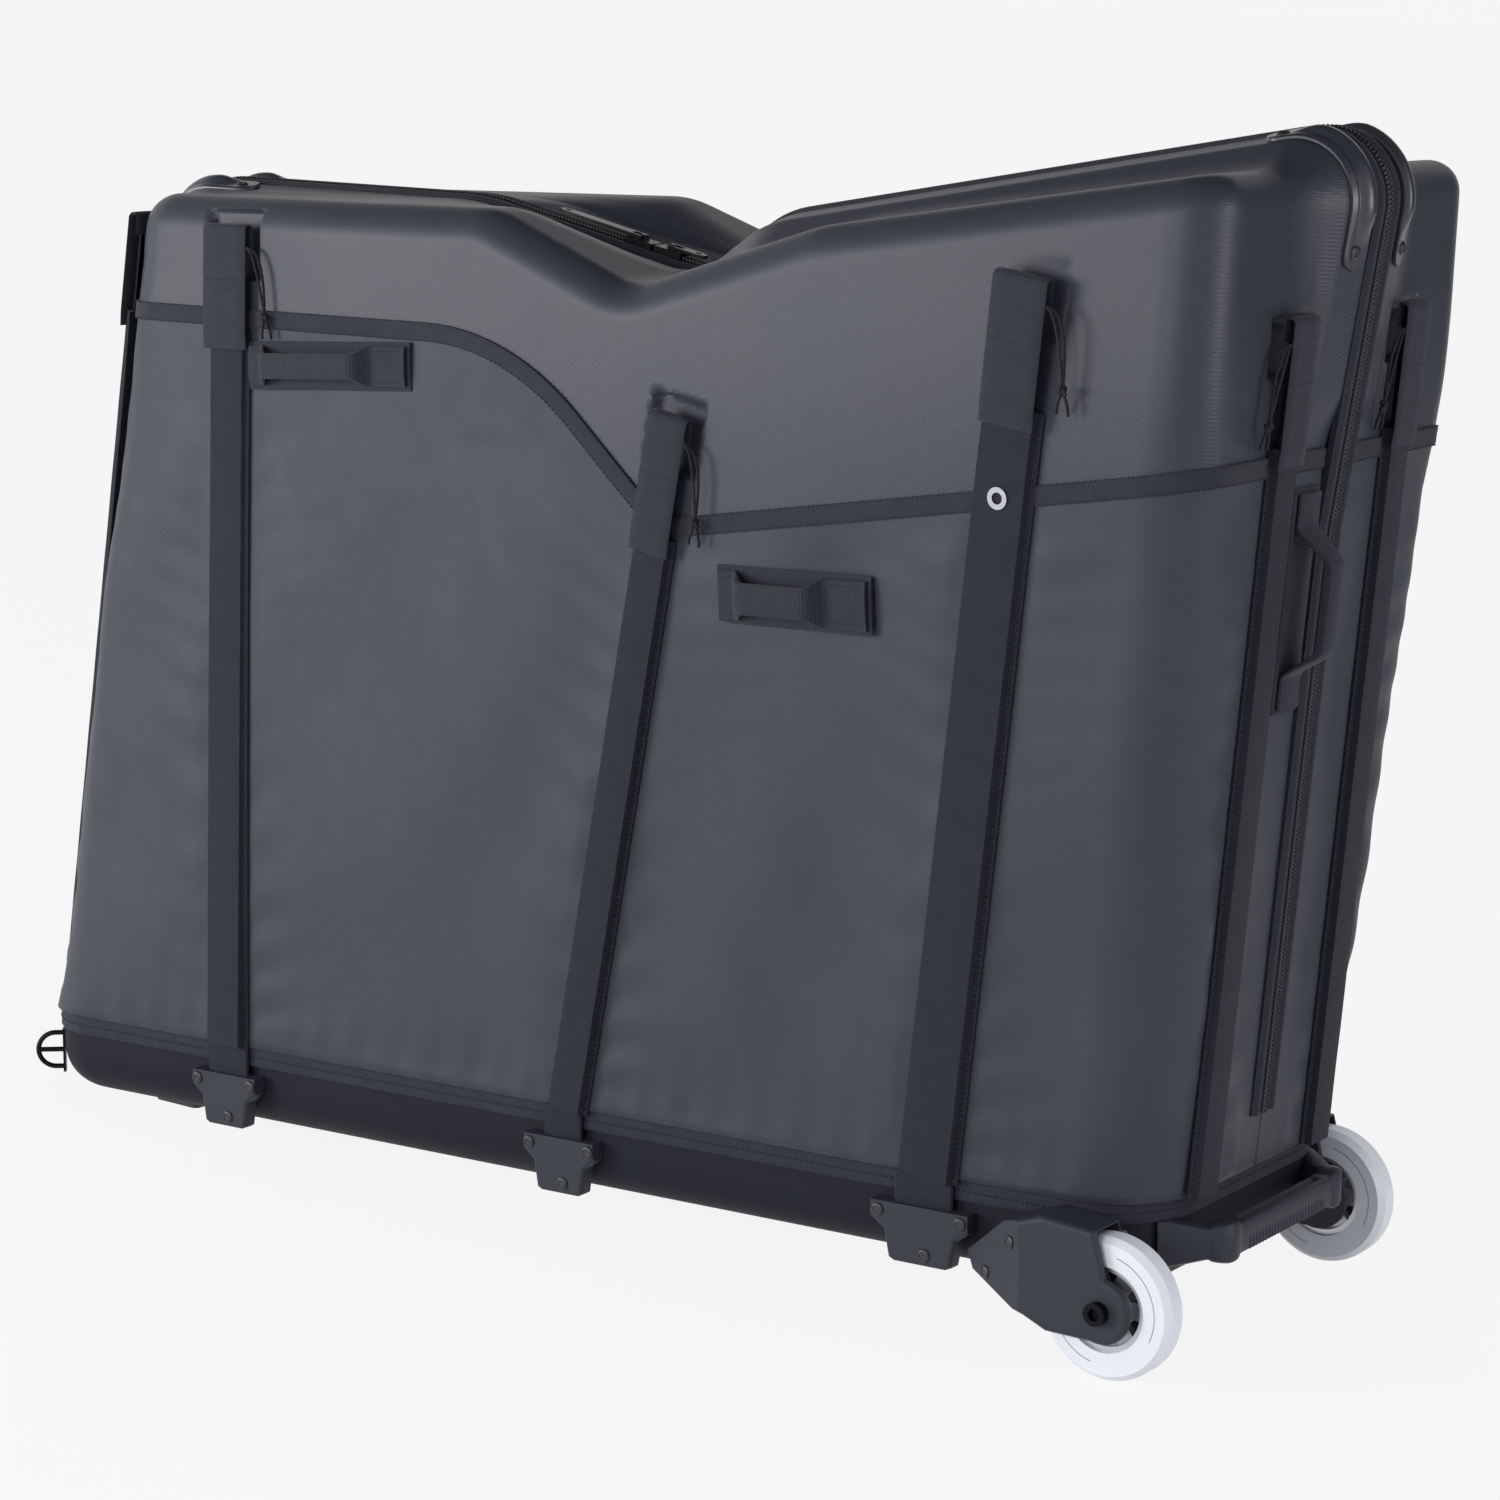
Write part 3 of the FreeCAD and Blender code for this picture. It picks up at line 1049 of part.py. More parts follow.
def build_half():
    """Every sewn and moulded piece of the left half, with its right-hand twin."""
    frames = stay_frames()
    skin = half_block(d.contact, d.overrun)
    split = d.tape_width / 2

    def recesses(grow):
        boxes = [frame_box(frame, (-frame.flap / 2 - d.recess_side - grow, frame.flap / 2 + d.recess_side + grow),
                           (frame.high - d.recess_under - grow, frame.high + d.recess_over + grow),
                           (-d.stay_stand_off - d.recess_depth - grow, d.overrun)) for frame in frames]
        return Part.makeCompound(boxes)

    def skin_form(grow, start):
        block = roofed_block(grow, start).cut(valley(grow, d.overrun))
        return block.fuse(ridge(grow, start), d.join_slack)

    cover = skin_form(d.contact, d.overrun)
    outer = skin_form(0, -d.half_gap).cut(recesses(0))
    inner = skin_form(-d.shell_wall, d.overrun)
    hollow = outer.cut(inner.cut(recesses(d.shell_wall)))
    shell = hollow.common(outside_of_trim(split - d.contact, True))
    cloth = half_block(0, -d.half_gap).cut(half_block(-d.cloth_wall, d.overrun))
    cloth = cloth.common(outside_of_trim(split + d.contact, False))

    tape = half_block(d.contact + d.tape_thickness, -d.tape_start).cut(skin).common(trim_strip(0, d.tape_width))
    tape_room = half_block(2 * d.contact + d.tape_thickness, d.overrun)
    tape_room = tape_room.common(trim_strip(-d.fit_gap, d.tape_width + d.fit_gap))

    run = ridge_run(d.zip_low)
    low, mid = d.contact, d.contact + d.zip_tape_thickness
    strip = band_outline(run, low, mid).extrude(Vector(0, -d.zip_tape_half, 0))
    coil = band_outline(run, mid - d.join_slack, mid + d.coil_height).extrude(Vector(0, -d.coil_half, 0))
    zipper = strip.fuse(coil)
    zipper.translate(Vector(0, -d.half_gap, 0))

    guards = []
    middle = (d.guard_inner + d.guard_outer) / 2
    bands = ((d.guard_height, d.guard_inner, d.guard_outer, 0),
             (d.guard_rib_height, d.guard_inner, middle - d.guard_groove / 2, d.guard_tab),
             (d.guard_rib_height, middle + d.guard_groove / 2, d.guard_outer, d.guard_tab))
    for corner, legs, way in ((RIDGE_SHARES[0], GUARD_LEG_SHARES[0], -1), (RIDGE_SHARES[-1], GUARD_LEG_SHARES[1], 1)):
        x, z = along_case(corner[0]), up_case(corner[1])
        guard = None
        for height, near, far, tab in bands:
            reach_x, reach_z = legs[0] * d.guard_run - tab, legs[1] * d.guard_run - tab
            box = Part.makeBox(reach_x + d.overrun, far - near, reach_z + d.overrun)
            left = x - reach_x if way < 0 else x - d.overrun
            box.translate(Vector(left, -far, z - reach_z))
            piece = ridge(height, -d.half_gap).common(box).cut(cover)
            guard = piece if guard is None else guard.fuse(piece)
        guards.append(guard)

    sleeves, stays, flaps, cords = [], [], [], []
    for frame in frames:
        half, width = frame.sleeve / 2, frame.flap / 2
        slot = d.stay_width / 2
        top = frame.high + d.recess_over / 2
        channel = frame_box(frame, (-slot - d.contact, slot + d.contact), (-d.overrun, top + d.overrun),
                            (-d.contact, d.stay_thickness + d.contact))
        sleeve = frame_box(frame, (-half, half), (-d.overrun, frame.low - d.fit_gap), (-d.sleeve_root, d.sleeve_thickness))
        sleeves.append(sleeve.common(above_rim()).cut(skin).cut(tape_room).cut(channel))
        flap = frame_box(frame, (-width, width), (frame.low, frame.high), (-d.sleeve_root, d.flap_thickness))
        flaps.append(flap.cut(skin).cut(tape_room).cut(channel).cut(ridge(d.contact, d.overrun)))
        stays.append(frame_box(frame, (-slot, slot), (-d.overrun, top), (0, d.stay_thickness)).common(above_rim()))
        cords.append(cord_tube(frame))

    wide_strap = frames[2]
    ring = Part.makeCylinder(d.eyelet_outside / 2, d.eyelet_height).cut(Part.makeCylinder(d.eyelet_hole / 2, d.eyelet_height))
    ring.translate(Vector(0, wide_strap.low - d.sleeve_rear, d.sleeve_thickness + d.contact))
    eyelet = ring.transformed(wide_strap.matrix, True)

    widths = (d.front_grip_width, d.rear_grip_width)
    grips = [webbing_loop(frame, frame.length, width, d.side_handle_rise).cut(skin)
             for frame, width in zip(side_grip_frames(), widths)]

    tub = half_block(-d.cloth_wall - d.fit_gap, d.overrun).cut(half_block(-d.pocket_depth, d.overrun))
    space = half_block(-d.cloth_wall, d.overrun).cut(half_block(d.pocket_wall - d.pocket_depth, d.overrun))
    deep = d.crown_rear_half
    box = Part.makeBox(d.pocket_front - d.pocket_rear, deep, d.pocket_high - d.pocket_low)
    box.translate(Vector(-d.pocket_front, -deep, d.pocket_low))
    core = Part.makeBox(d.pocket_front - d.pocket_rear - 2 * d.pocket_wall, deep, d.pocket_high - d.pocket_low)
    core.translate(Vector(-d.pocket_front + d.pocket_wall, -deep, d.pocket_low + d.pocket_wall))
    wheel_pocket = tub.common(box).cut(space.common(core))

    pieces = {
        "shell": shell, "cloth_side": cloth, "trim_tape": tape, "zip": zipper,
        "corner_guards": Part.makeCompound(guards), "stay_sleeves": Part.makeCompound(sleeves),
        "stays": Part.makeCompound(stays), "stay_flaps": Part.makeCompound(flaps),
        "pull_cords": Part.makeCompound(cords), "eyelet": eyelet,
        "side_handles": Part.makeCompound(grips), "wheel_pocket": wheel_pocket}
    for label, shape in pieces.items():
        mirror(plain("left_" + label, shape), "right_" + label)
    frame = end_grip_frame()
    plain("rear_grab_handle", webbing_loop(frame, frame.length, d.end_grip_width, d.end_grip_rise).cut(skin))


# Sockets on the tray for the feet of the stays, with the strap ends that sit in them

SOCKET_SHARES = ((-0.5, 1.0), (-0.5, 0.69), (-0.37, 0.52), (-0.32, 0.05), (-0.26, 0.0),
                 (0.26, 0.0), (0.32, 0.05), (0.37, 0.52), (0.5, 0.69), (0.5, 1.0))


def build_sockets():
    sockets, tails = [], []
    face = "(tray_half_width + contact)"
    for index, strap in enumerate(("sleeve_front", "sleeve_middle", "sleeve_rear")):
        scale = "wide_socket_share" if strap == "sleeve_rear" else "1"
        slope = (STAY_TABLE.head_shares[index] - STAY_TABLE.foot_shares[index])
        rise = STAY_TABLE.high_shares[index] * (d.ridge_peak - rim_height)
        drop = rim_height - d.socket_top
        x = along_case(STAY_TABLE.foot_shares[index]) - slope * (d.side_front + d.side_rear) / rise * drop
        socket = new_body("left_socket")
        plate = new_sketch(socket, "XZ_Plane", "0", "socket_top", face)
        plate.AttachmentOffset.Base = Vector(x, d.socket_top, 0)
        bind(plate, "AttachmentOffset.Base.x", "%f" % x)
        draw_outline(plate, [("%g * socket_width * %s" % (u, scale), "%g * socket_height" % (v - 1)) for u, v in SOCKET_SHARES])
        pad(socket, plate, "socket_thick")
        slot = new_sketch(socket, "XY_Plane", "%f" % x, "0", "socket_top - strap_depth - fit_gap")
        half = strap + " / 2"
        near, far = "-(%s + hem_thickness + fit_gap)" % face, "-(%s + hem_thickness + strap_thickness + 2 * fit_gap)" % face
        draw_box(slot, "-(%s + fit_gap)" % half, far, half + " + fit_gap", near)
        pocket(socket, slot, "strap_depth + overrun")
        fillet(socket, "handle_round", lambda edge: edge.BoundBox.YMax < -d.tray_half_width - d.socket_thick
               and edge.BoundBox.ZMax < d.socket_top - d.contact)
        sockets.append(socket)
        tail = new_body("left_strap_end")
        plan = new_sketch(tail, "XY_Plane", "%f" % x, "0", "socket_top - strap_depth")
        draw_box(plan, "-" + half, "-(%s + hem_thickness + strap_thickness + 1.5 * fit_gap)" % face, half,
                 "-(%s + hem_thickness + 1.5 * fit_gap)" % face)
        pad(tail, plan, "ground_clearance + tray_height - socket_top + strap_depth - fit_gap")
        tails.append(tail)
    group = doc.addObject("Part::Compound", "left_stay_sockets")
    group.Links = sockets
    mirror(keep(group, "left_stay_sockets"), "right_stay_sockets")
    group = doc.addObject("Part::Compound", "left_strap_ends")
    group.Links = tails
    join_twins(group, "strap_ends")


# Bike rail inside the tray, and the two mounts that slide on it

RAIL_BASE = "(ground_clearance + tray_wall + contact + foot_height)"


def build_rail():
    rail = new_body("bike_rail")
    profile = new_sketch(rail, "YZ_Plane", "0", RAIL_BASE + " + contact", "-rail_front")
    half, slot, deep = "rail_width / 2", "rail_slot / 2", "rail_height - rail_slot_depth"
    draw_outline(profile, [("-" + half, "0"), (half, "0"), (half, "rail_height"), (slot, "rail_height"), (slot, deep),
                           ("-" + slot, deep), ("-" + slot, "rail_height"), ("-" + half, "rail_height")])
    pad(rail, profile, "rail_front - rail_rear")
    keep(rail, "bike_rail")
    feet, screws = [], []
    for place in ("-(rail_front - foot_inset)", "-(rail_rear + foot_inset)"):
        foot = new_body("rail_foot")
        plan = new_sketch(foot, "XY_Plane", place, "0", "ground_clearance + tray_wall + contact")
        draw_box(plan, "-foot_length / 2", "-foot_half", "foot_length / 2", "foot_half")
        pad(foot, plan, "foot_height")
        fillet(foot, "handle_round", upright)
        feet.append(foot)
        for side in (-1, 1):
            screw = new_body("rail_screw")
            plan = new_sketch(screw, "XY_Plane", place, "%d * screw_spread" % side, RAIL_BASE + " + contact")
            draw_circle(plan, "0", "0", "screw_head")
            pad(screw, plan, "screw_head_height")
            screws.append(screw)
    for label, items in (("rail_feet", feet), ("rail_screws", screws)):
        group = doc.addObject("Part::Compound", label)
        group.Links = items
        keep(group, label)


def build_mount(name, ahead, height, tube_length):
    """A saddle on the rail, a post with an eye, a dummy hub through the eye and a clamp knob."""
    mount = new_body(name + "_mount")
    floor = RAIL_BASE + " + contact"
    profile = new_sketch(mount, "YZ_Plane", "0", floor, "-%s - saddle_length / 2" % ahead)
    inner, outer = "(rail_width / 2 + saddle_play)", "(rail_width / 2 + saddle_play + saddle_wall)"
    roof = "(rail_height + saddle_play)"
    foot = "fit_gap"
    draw_outline(profile, [("-" + outer, foot), ("-" + inner, foot), ("-" + inner, roof), (inner, roof), (inner, foot),
                           (outer, foot), (outer, roof + " + saddle_wall"), ("-" + outer, roof + " + saddle_wall")])
    pad(mount, profile, "saddle_length")
    post = new_sketch(mount, "XZ_Plane", "-" + ahead, "0", "-post_width / 2")
    draw_box(post, "-post_thickness / 2", floor + " + rail_height + saddle_wall / 2", "post_thickness / 2", height)
    pad(mount, post, "post_width")
    eye = new_sketch(mount, "XZ_Plane", "-" + ahead, height, "-post_width / 2")
    draw_circle(eye, "0", "0", "tube_eye")
    pad(mount, eye, "post_width")
    bore = new_sketch(mount, "XZ_Plane", "-" + ahead, height, "-post_width / 2")
    draw_circle(bore, "0", "0", "tube_outside")
    pocket(mount, bore, "post_width")
    hole = new_sketch(mount, "XZ_Plane", "-" + ahead, floor + " + rail_height * 0.75", outer + " - saddle_wall")
    draw_circle(hole, "0", "0", "knob_screw + 2 * axle_play")
    pocket(mount, hole, "saddle_wall")
    keep(mount, name + "_mount")

    tube = new_body(name + "_dummy_hub")
    ring = new_sketch(tube, "XZ_Plane", "-" + ahead, height, "-%s / 2" % tube_length)
    draw_circle(ring, "0", "0", "tube_outside")
    draw_circle(ring, "0", "0", "tube_bore")
    pad(tube, ring, tube_length)
    keep(tube, name + "_dummy_hub")

    knob = new_body(name + "_knob")
    head = new_sketch(knob, "XZ_Plane", "-" + ahead, floor + " + rail_height * 0.75", outer + " + fit_gap")
    draw_circle(head, "0", "0", "knob_diameter")
    pad(knob, head, "knob_height")
    hollow = new_sketch(knob, "XZ_Plane", "-" + ahead, floor + " + rail_height * 0.75", outer + " + fit_gap")
    draw_circle(hollow, "knob_diameter / 2 + knob_hollow / 6", "0", "knob_hollow")
    cut = pocket(knob, hollow, "knob_height")
    lobes = knob.newObject("PartDesign::PolarPattern", name + "_knob_lobes")
    lobes.Originals = [cut]
    lobes.Axis = (hollow, ["N_Axis"])
    bind(lobes, "Occurrences", "knob_lobes")
    knob.Tip = lobes
    doc.recompute()
    screw = new_sketch(knob, "XZ_Plane", "-" + ahead, floor + " + rail_height * 0.75", outer + " - knob_screw_length")
    draw_circle(screw, "0", "0", "knob_screw")
    pad(knob, screw, "knob_screw_length + fit_gap + contact")
    keep(knob, name + "_knob")


# Zip sliders: built along X with the crest at zero height, then set on the zip's sloping run

def slider_place(ahead):
    """Where a slider sits on the straight run of the zip ahead of the dip."""
    low, high = outline_points(RIDGE_SHARES)[2], outline_points(RIDGE_SHARES)[3]
    share = (-ahead - low[0]) / (high[0] - low[0])
    fall = math.degrees(math.atan2(high[1] - low[1], low[0] - high[0]))
    base = Vector(-ahead, 0, low[1] + share * (high[1] - low[1]))
    return FreeCAD.Placement(base, FreeCAD.Rotation(Vector(0, 1, 0), fall))


def build_slider(name, ahead, way, length):
    place = slider_place(ahead)
    slider = new_body(name + "_slider")
    profile = new_sketch(slider, "YZ_Plane", "0", "0", "-slider_length / 2")
    foot = "contact + zip_tape_thickness + fit_gap"
    top = "slider_lift + slider_plate"
    draw_outline(profile, [("-slider_half", foot), ("-slider_half + slider_flange", foot),
                           ("-slider_half + slider_flange", "slider_lift"), ("slider_half", "slider_lift"),
                           ("slider_half", top), ("-slider_half", top)])
    pad(slider, profile, "slider_length")
    bridge = new_sketch(slider, "XZ_Plane", "0", top, "-bridge_half")
    draw_outline(bridge, [("-bridge_length / 2", "0"), ("bridge_length / 2", "0"), ("bridge_length / 4", "bridge_height"),
                          ("-bridge_length / 4", "bridge_height")])
    pad(slider, bridge, "2 * bridge_half")
    pin_hole = new_sketch(slider, "XZ_Plane", "0", top + " + bridge_height / 2", "-bridge_half")
    draw_circle(pin_hole, "0", "0", "pin_diameter + 2 * axle_play")
    pocket(slider, pin_hole, "2 * bridge_half")
    keep(slider, name + "_slider")

    puller = new_body(name + "_puller")
    level = top + " + bridge_height / 2"
    plan = new_sketch(puller, "XY_Plane", "0", "0", level + " - puller_thickness / 2")
    half = "puller_half"
    arm, tip = "%d * pin_diameter * -0.6" % way, "%d * %s" % (way, length)
    draw_outline(plan, [(arm, "-" + half), ("%d * (%s - puller_half)" % (way, length), "-" + half), (tip, "-puller_half / 2"),
                        (tip, "puller_half / 2"), ("%d * (%s - puller_half)" % (way, length), half), (arm, half),
                        (arm, half + " - puller_arm"), ("%d * puller_window" % way, half + " - puller_arm"),
                        ("%d * puller_window" % way, "-%s + puller_arm" % half), (arm, "-%s + puller_arm" % half)])
    pad(puller, plan, "puller_thickness")
    eye = new_sketch(puller, "XY_Plane", "0", "0", level + " - puller_thickness / 2")
    draw_circle(eye, "%d * (%s - puller_half * 1.2)" % (way, length), "0", "puller_eye")
    pocket(puller, eye, "puller_thickness")
    rod = new_sketch(puller, "XZ_Plane", "0", level, "-(puller_half - puller_arm / 2)")
    draw_circle(rod, "0", "0", "pin_diameter")
    pad(puller, rod, "2 * puller_half - puller_arm")
    keep(puller, name + "_puller")
    for item in (slider, puller):
        item.Placement = place


# Stand: the case leans forward until its wheels and front pads both touch the floor

def stand_placement():
    turn = FreeCAD.Rotation(Vector(0, 1, 0), -d.lean_degrees)
    axle = Vector(0, 0, axle_height)
    return FreeCAD.Placement(axle - turn.multVec(axle) + Vector(d.middle_ahead, 0, 0), turn)


STAND = stand_placement()


def build_all():
    build_wheel()
    build_axles()
    build_bracket()
    build_tray()
    build_pull_handle()
    build_front_rings()
    build_sockets()
    build_rail()
    build_mount("fork", "fork_ahead", "fork_axle_height", "fork_tube")
    build_mount("dropout", "dropout_ahead", "dropout_axle_height", "dropout_tube")
    build_half()
    build_slider("front", d.slider_places_front, -1, "long_puller")
    build_slider("rear", d.slider_places_rear, 1, "short_puller")
    for item in SUBPARTS:
        if item.TypeId != "Part::Mirroring":
            item.Placement = STAND.multiply(item.Placement)
    doc.recompute()


def write_parts():
    os.makedirs("parts", exist_ok=True)
    for item in doc.Objects:
        if "Invalid" in item.State or "Error" in item.State:
            raise RuntimeError("%s is in state %s" % (item.Label, item.State))
    for item in SUBPARTS:
        if item.Shape.isNull() or not item.Shape.isValid():
            raise RuntimeError(item.Label + " has no valid shape")
        item.Shape.exportStep(os.path.join("parts", item.Label + ".step"))
        print(item.Label, len(item.Shape.Solids), [round(value, 1) for value in (
            item.Shape.BoundBox.XMin, item.Shape.BoundBox.XMax, item.Shape.BoundBox.YMin,
            item.Shape.BoundBox.YMax, item.Shape.BoundBox.ZMin, item.Shape.BoundBox.ZMax)])


build_all()
write_parts()
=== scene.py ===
"""Looks of a soft-sided bike travel case: shells, cloth, webbing, zip, cords and stage on its frame."""

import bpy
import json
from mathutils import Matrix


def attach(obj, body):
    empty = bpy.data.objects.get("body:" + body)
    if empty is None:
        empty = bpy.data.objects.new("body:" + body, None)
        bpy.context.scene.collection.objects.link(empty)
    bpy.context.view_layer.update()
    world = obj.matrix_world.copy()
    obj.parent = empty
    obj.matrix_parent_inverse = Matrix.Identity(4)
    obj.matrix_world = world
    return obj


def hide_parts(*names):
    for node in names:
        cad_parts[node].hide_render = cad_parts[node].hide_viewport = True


bl_info = {
    "name": "Bike travel case",
    "version": (1, 0, 0),
    "blender": (4, 5, 0),
    "location": "View3D > Sidebar > Case",
    "description": "Dresses the packed frame of a bike travel case and lights it",
    "category": "Object",
}

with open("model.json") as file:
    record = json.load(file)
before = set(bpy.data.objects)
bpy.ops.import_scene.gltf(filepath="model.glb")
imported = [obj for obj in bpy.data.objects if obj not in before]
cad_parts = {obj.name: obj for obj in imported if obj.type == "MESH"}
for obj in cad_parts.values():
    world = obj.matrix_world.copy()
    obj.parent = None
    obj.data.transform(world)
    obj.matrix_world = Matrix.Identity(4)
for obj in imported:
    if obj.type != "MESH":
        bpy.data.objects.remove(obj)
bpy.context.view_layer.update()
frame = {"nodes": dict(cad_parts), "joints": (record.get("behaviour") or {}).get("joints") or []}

import json
import math
from collections import namedtuple
from types import SimpleNamespace

import bpy
import numpy as np
from bpy.props import FloatProperty, PointerProperty, StringProperty
from mathutils import Matrix


# Where the case stands: level case points lean with the frame's own hinge line

def joint(name):
    return next(item for item in frame["joints"] if item["name"] == name)


ALONG = np.array(joint("left_side_open")["axis"])
ABOVE = np.array((-ALONG[2], 0.0, ALONG[0]))
AXLE = np.array(joint("left_wheel_spin")["pos_m"]) * (1, 0, 1)


def stand(points):
    """Level case place (x from the axle, y, z from the wheels' foot) turned about the axle by the lean."""
    p = np.asarray(points, float)
    return AXLE + p[..., :1] * ALONG + p[..., 1:2] * (0, 1, 0) + (p[..., 2:] - AXLE[2]) * ABOVE


# Sizes and colours that a user would change

class CaseSizes(bpy.types.PropertyGroup):
    """Sizes of the sewn and moulded surfaces."""
    shell_wall: FloatProperty(name="Shell wall", description="Thickness of the moulded shells",
                              default=0.0034, unit="LENGTH")
    cloth_wall: FloatProperty(name="Cloth", description="Thickness of the padded cloth sides",
                              default=0.0028, unit="LENGTH")
    cloth_swell: FloatProperty(name="Cloth swell", description="Height of the broad waves in the cloth",
                               default=0.0026, unit="LENGTH")
    cloth_pucker: FloatProperty(name="Seam pucker", description="Height of the small folds beside the seams",
                                default=0.0019, unit="LENGTH")
    weave_pitch: FloatProperty(name="Weave pitch", description="Thread spacing of the coated cloth",
                               default=0.0011, unit="LENGTH")
    twill_pitch: FloatProperty(name="Twill pitch", description="Line spacing of the shell's moulded twill",
                               default=0.0017, unit="LENGTH")
    rib_pitch: FloatProperty(name="Webbing rib", description="Rib spacing of the webbing",
                             default=0.0019, unit="LENGTH")
    stitch_pitch: FloatProperty(name="Stitch pitch", description="Spacing of the stitches",
                                default=0.0042, unit="LENGTH")
    tooth_pitch: FloatProperty(name="Zip pitch", description="Spacing of the zip's turns",
                               default=0.0030, unit="LENGTH")
    tape_width: FloatProperty(name="Trim tape", description="Width of the tape between shell and cloth",
                              default=0.0138, unit="LENGTH")
    cord_diameter: FloatProperty(name="Pull cord", description="Diameter of the pull cords",
                                 default=0.003, unit="LENGTH")
    lens: FloatProperty(name="Lens", description="Focal length of the camera in millimetres", default=97.0)


class CaseColours(bpy.types.PropertyGroup):
    """Colours as sRGB hex codes."""
    shell: StringProperty(name="Shell", description="Moulded polycarbonate", default="#33363f")
    cloth: StringProperty(name="Cloth", description="Coated polyester", default="#363942")
    webbing: StringProperty(name="Webbing", description="Flaps and grips", default="#2c2e36")
    sleeve: StringProperty(name="Sleeve", description="Stay sleeves and strap ends", default="#24262e")
    tape: StringProperty(name="Tape", description="Trim and rim tape", default="#2b2d35")
    thread: StringProperty(name="Thread", description="Sewing thread", default="#1c1d22")
    tray: StringProperty(name="Tray", description="Base tray", default="#1b1d25")
    nylon: StringProperty(name="Nylon", description="Brackets, sockets and pull handle", default="#30323b")
    rubber: StringProperty(name="Rubber", description="Corner guards and pads", default="#33353d")
    coil: StringProperty(name="Zip coil", description="Nylon zip", default="#1d1e23")
    tyre: StringProperty(name="Tyre", description="White polyurethane", default="#e6e8ef")
    line: StringProperty(name="Tyre line", description="Thin line on the tyre wall", default="#84878f")
    alloy: StringProperty(name="Aluminium", description="Wheel core and mounts", default="#c9ccd2")
    steel: StringProperty(name="Steel", description="Bearings and eyelets", default="#b7b9be")
    black: StringProperty(name="Black steel", description="Bolts, rings and sliders", default="#1d1e22")
    lining: StringProperty(name="Lining", description="Inner pockets", default="#30323a")
    red: StringProperty(name="Flap lining", description="Lining under the middle flaps", default="#5c1420")
    floor: StringProperty(name="Floor", description="Studio floor", default="#fafafa")


def sizes():
    return bpy.context.scene.case_sizes


def colours():
    return bpy.context.scene.case_colours


def linear(code):
    """Linear red, green, blue and full alpha of an sRGB hex code."""
    value = np.array([int(code[place:place + 2], 16) / 255 for place in (1, 3, 5)])
    value = np.where(value <= 0.04045, value / 12.92, ((value + 0.055) / 1.055) ** 2.4)
    return (*value.tolist(), 1.0)


# Form of one half, in metres on the level case: plan outlines at three heights, side lines as shares

Level = namedtuple("Level", "height front rear front_half rear_half front_corner rear_corner")
RIM = Level(0.112, 1.008, 0.022, 0.147, 0.147, 0.056, 0.066)
FLARE = Level(0.656, 0.9208, 0.0737, 0.1144, 0.1959, 0.042, 0.040)
CROWN = Level(0.860, 0.899, 0.084, 0.110, 0.191, 0.040, 0.038)
LEVELS = (RIM, FLARE, CROWN)
HEIGHTS = np.array([level.height for level in LEVELS])
LEVEL_EASE = 0.060
RIDGE_PEAK = 0.834
RIDGE_SHARES = ((1.0874, 1.0, 0.062), (0.6291, 0.8961, 0.111), (0.5612, 0.8310, 0.069),
                (0.3573, 0.9017, 0.277), (0.0728, 0.9141, 0.062))
ROOF_SHARES = ((1.2, 0.987, 0.0), (0.7408, 0.8975, 0.166), (0.5806, 0.8310, 0.083),
               (0.4544, 0.9017, 0.111), (-0.1, 0.9045, 0.0))
TRIM_SHARES = ((1.2, 0.7320, 0.0), (0.6205, 0.6119, 0.062), (0.4850, 0.7860, 0.310), (-0.1, 0.7922, 0.0))
KNEE_SHARE = 0.6205
RIDGE_BEND = 0.150
RIDGE_PROUD = 0.0015
ZIP_LOW = 0.152
RIDGE_FOOT = 0.520
SHELL_ROUND = 0.026
RIDGE_WIDTHS = (0.020, 0.047, 0.100, 0.204)
RIDGE_FALLS = (0.0, 0.005, 0.036, 0.234)
HALF_GAP = 0.0005
SEAT = 0.0003
ARC_STEPS, SIDE_STEPS, RIDGE_ARC_STEPS = 16, 24, 20
TRIM_WALKS = 8


def along_case(share):
    return share * (RIM.front + RIM.rear) - RIM.front


def up_case(share):
    return RIM.height + share * (RIDGE_PEAK - RIM.height)


def unit(vectors):
    return vectors / np.linalg.norm(vectors, axis=-1, keepdims=True)


def rounded_line(corners, radii, run_counts, arc_count):
    """Points of a line whose corners are tangent arcs: straight runs in equal steps, arcs in equal angles."""
    corners = np.asarray(corners, float)
    rows, start = [], corners[0]
    for index in range(1, len(corners) - 1):
        come, leave = unit(corners[index] - corners[index - 1]), unit(corners[index + 1] - corners[index])
        turn = math.acos(max(-1.0, min(1.0, float(come @ leave))))
        reach = radii[index] * math.tan(turn / 2)
        first, last = corners[index] - come * reach, corners[index] + leave * reach
        share = np.linspace(0, 1, run_counts[index - 1], endpoint=False)[:, None]
        rows.append(start + (first - start) * share)
        angle = np.linspace(0, turn, arc_count, endpoint=False)[:, None]
        inward = (leave - come * math.cos(turn)) / math.sin(turn)
        rows.append(first + radii[index] * (come * np.sin(angle) + inward * (1 - np.cos(angle))))
        start = last
    share = np.linspace(0, 1, run_counts[-1])[:, None]
    rows.append(start + (corners[-1] - start) * share)
    return np.concatenate(rows)


def length_along(line):
    """Running length at each point of a line."""
    return np.concatenate(([0], np.cumsum(np.linalg.norm(np.diff(line, axis=0), axis=1))))


def even_line(line, step):
    """The same line in nearly equal steps, by its running length."""
    length = length_along(line)
    places = np.linspace(0, length[-1], max(2, int(round(length[-1] / step)) + 1))
    return np.stack([np.interp(places, length, column) for column in line.T], -1)


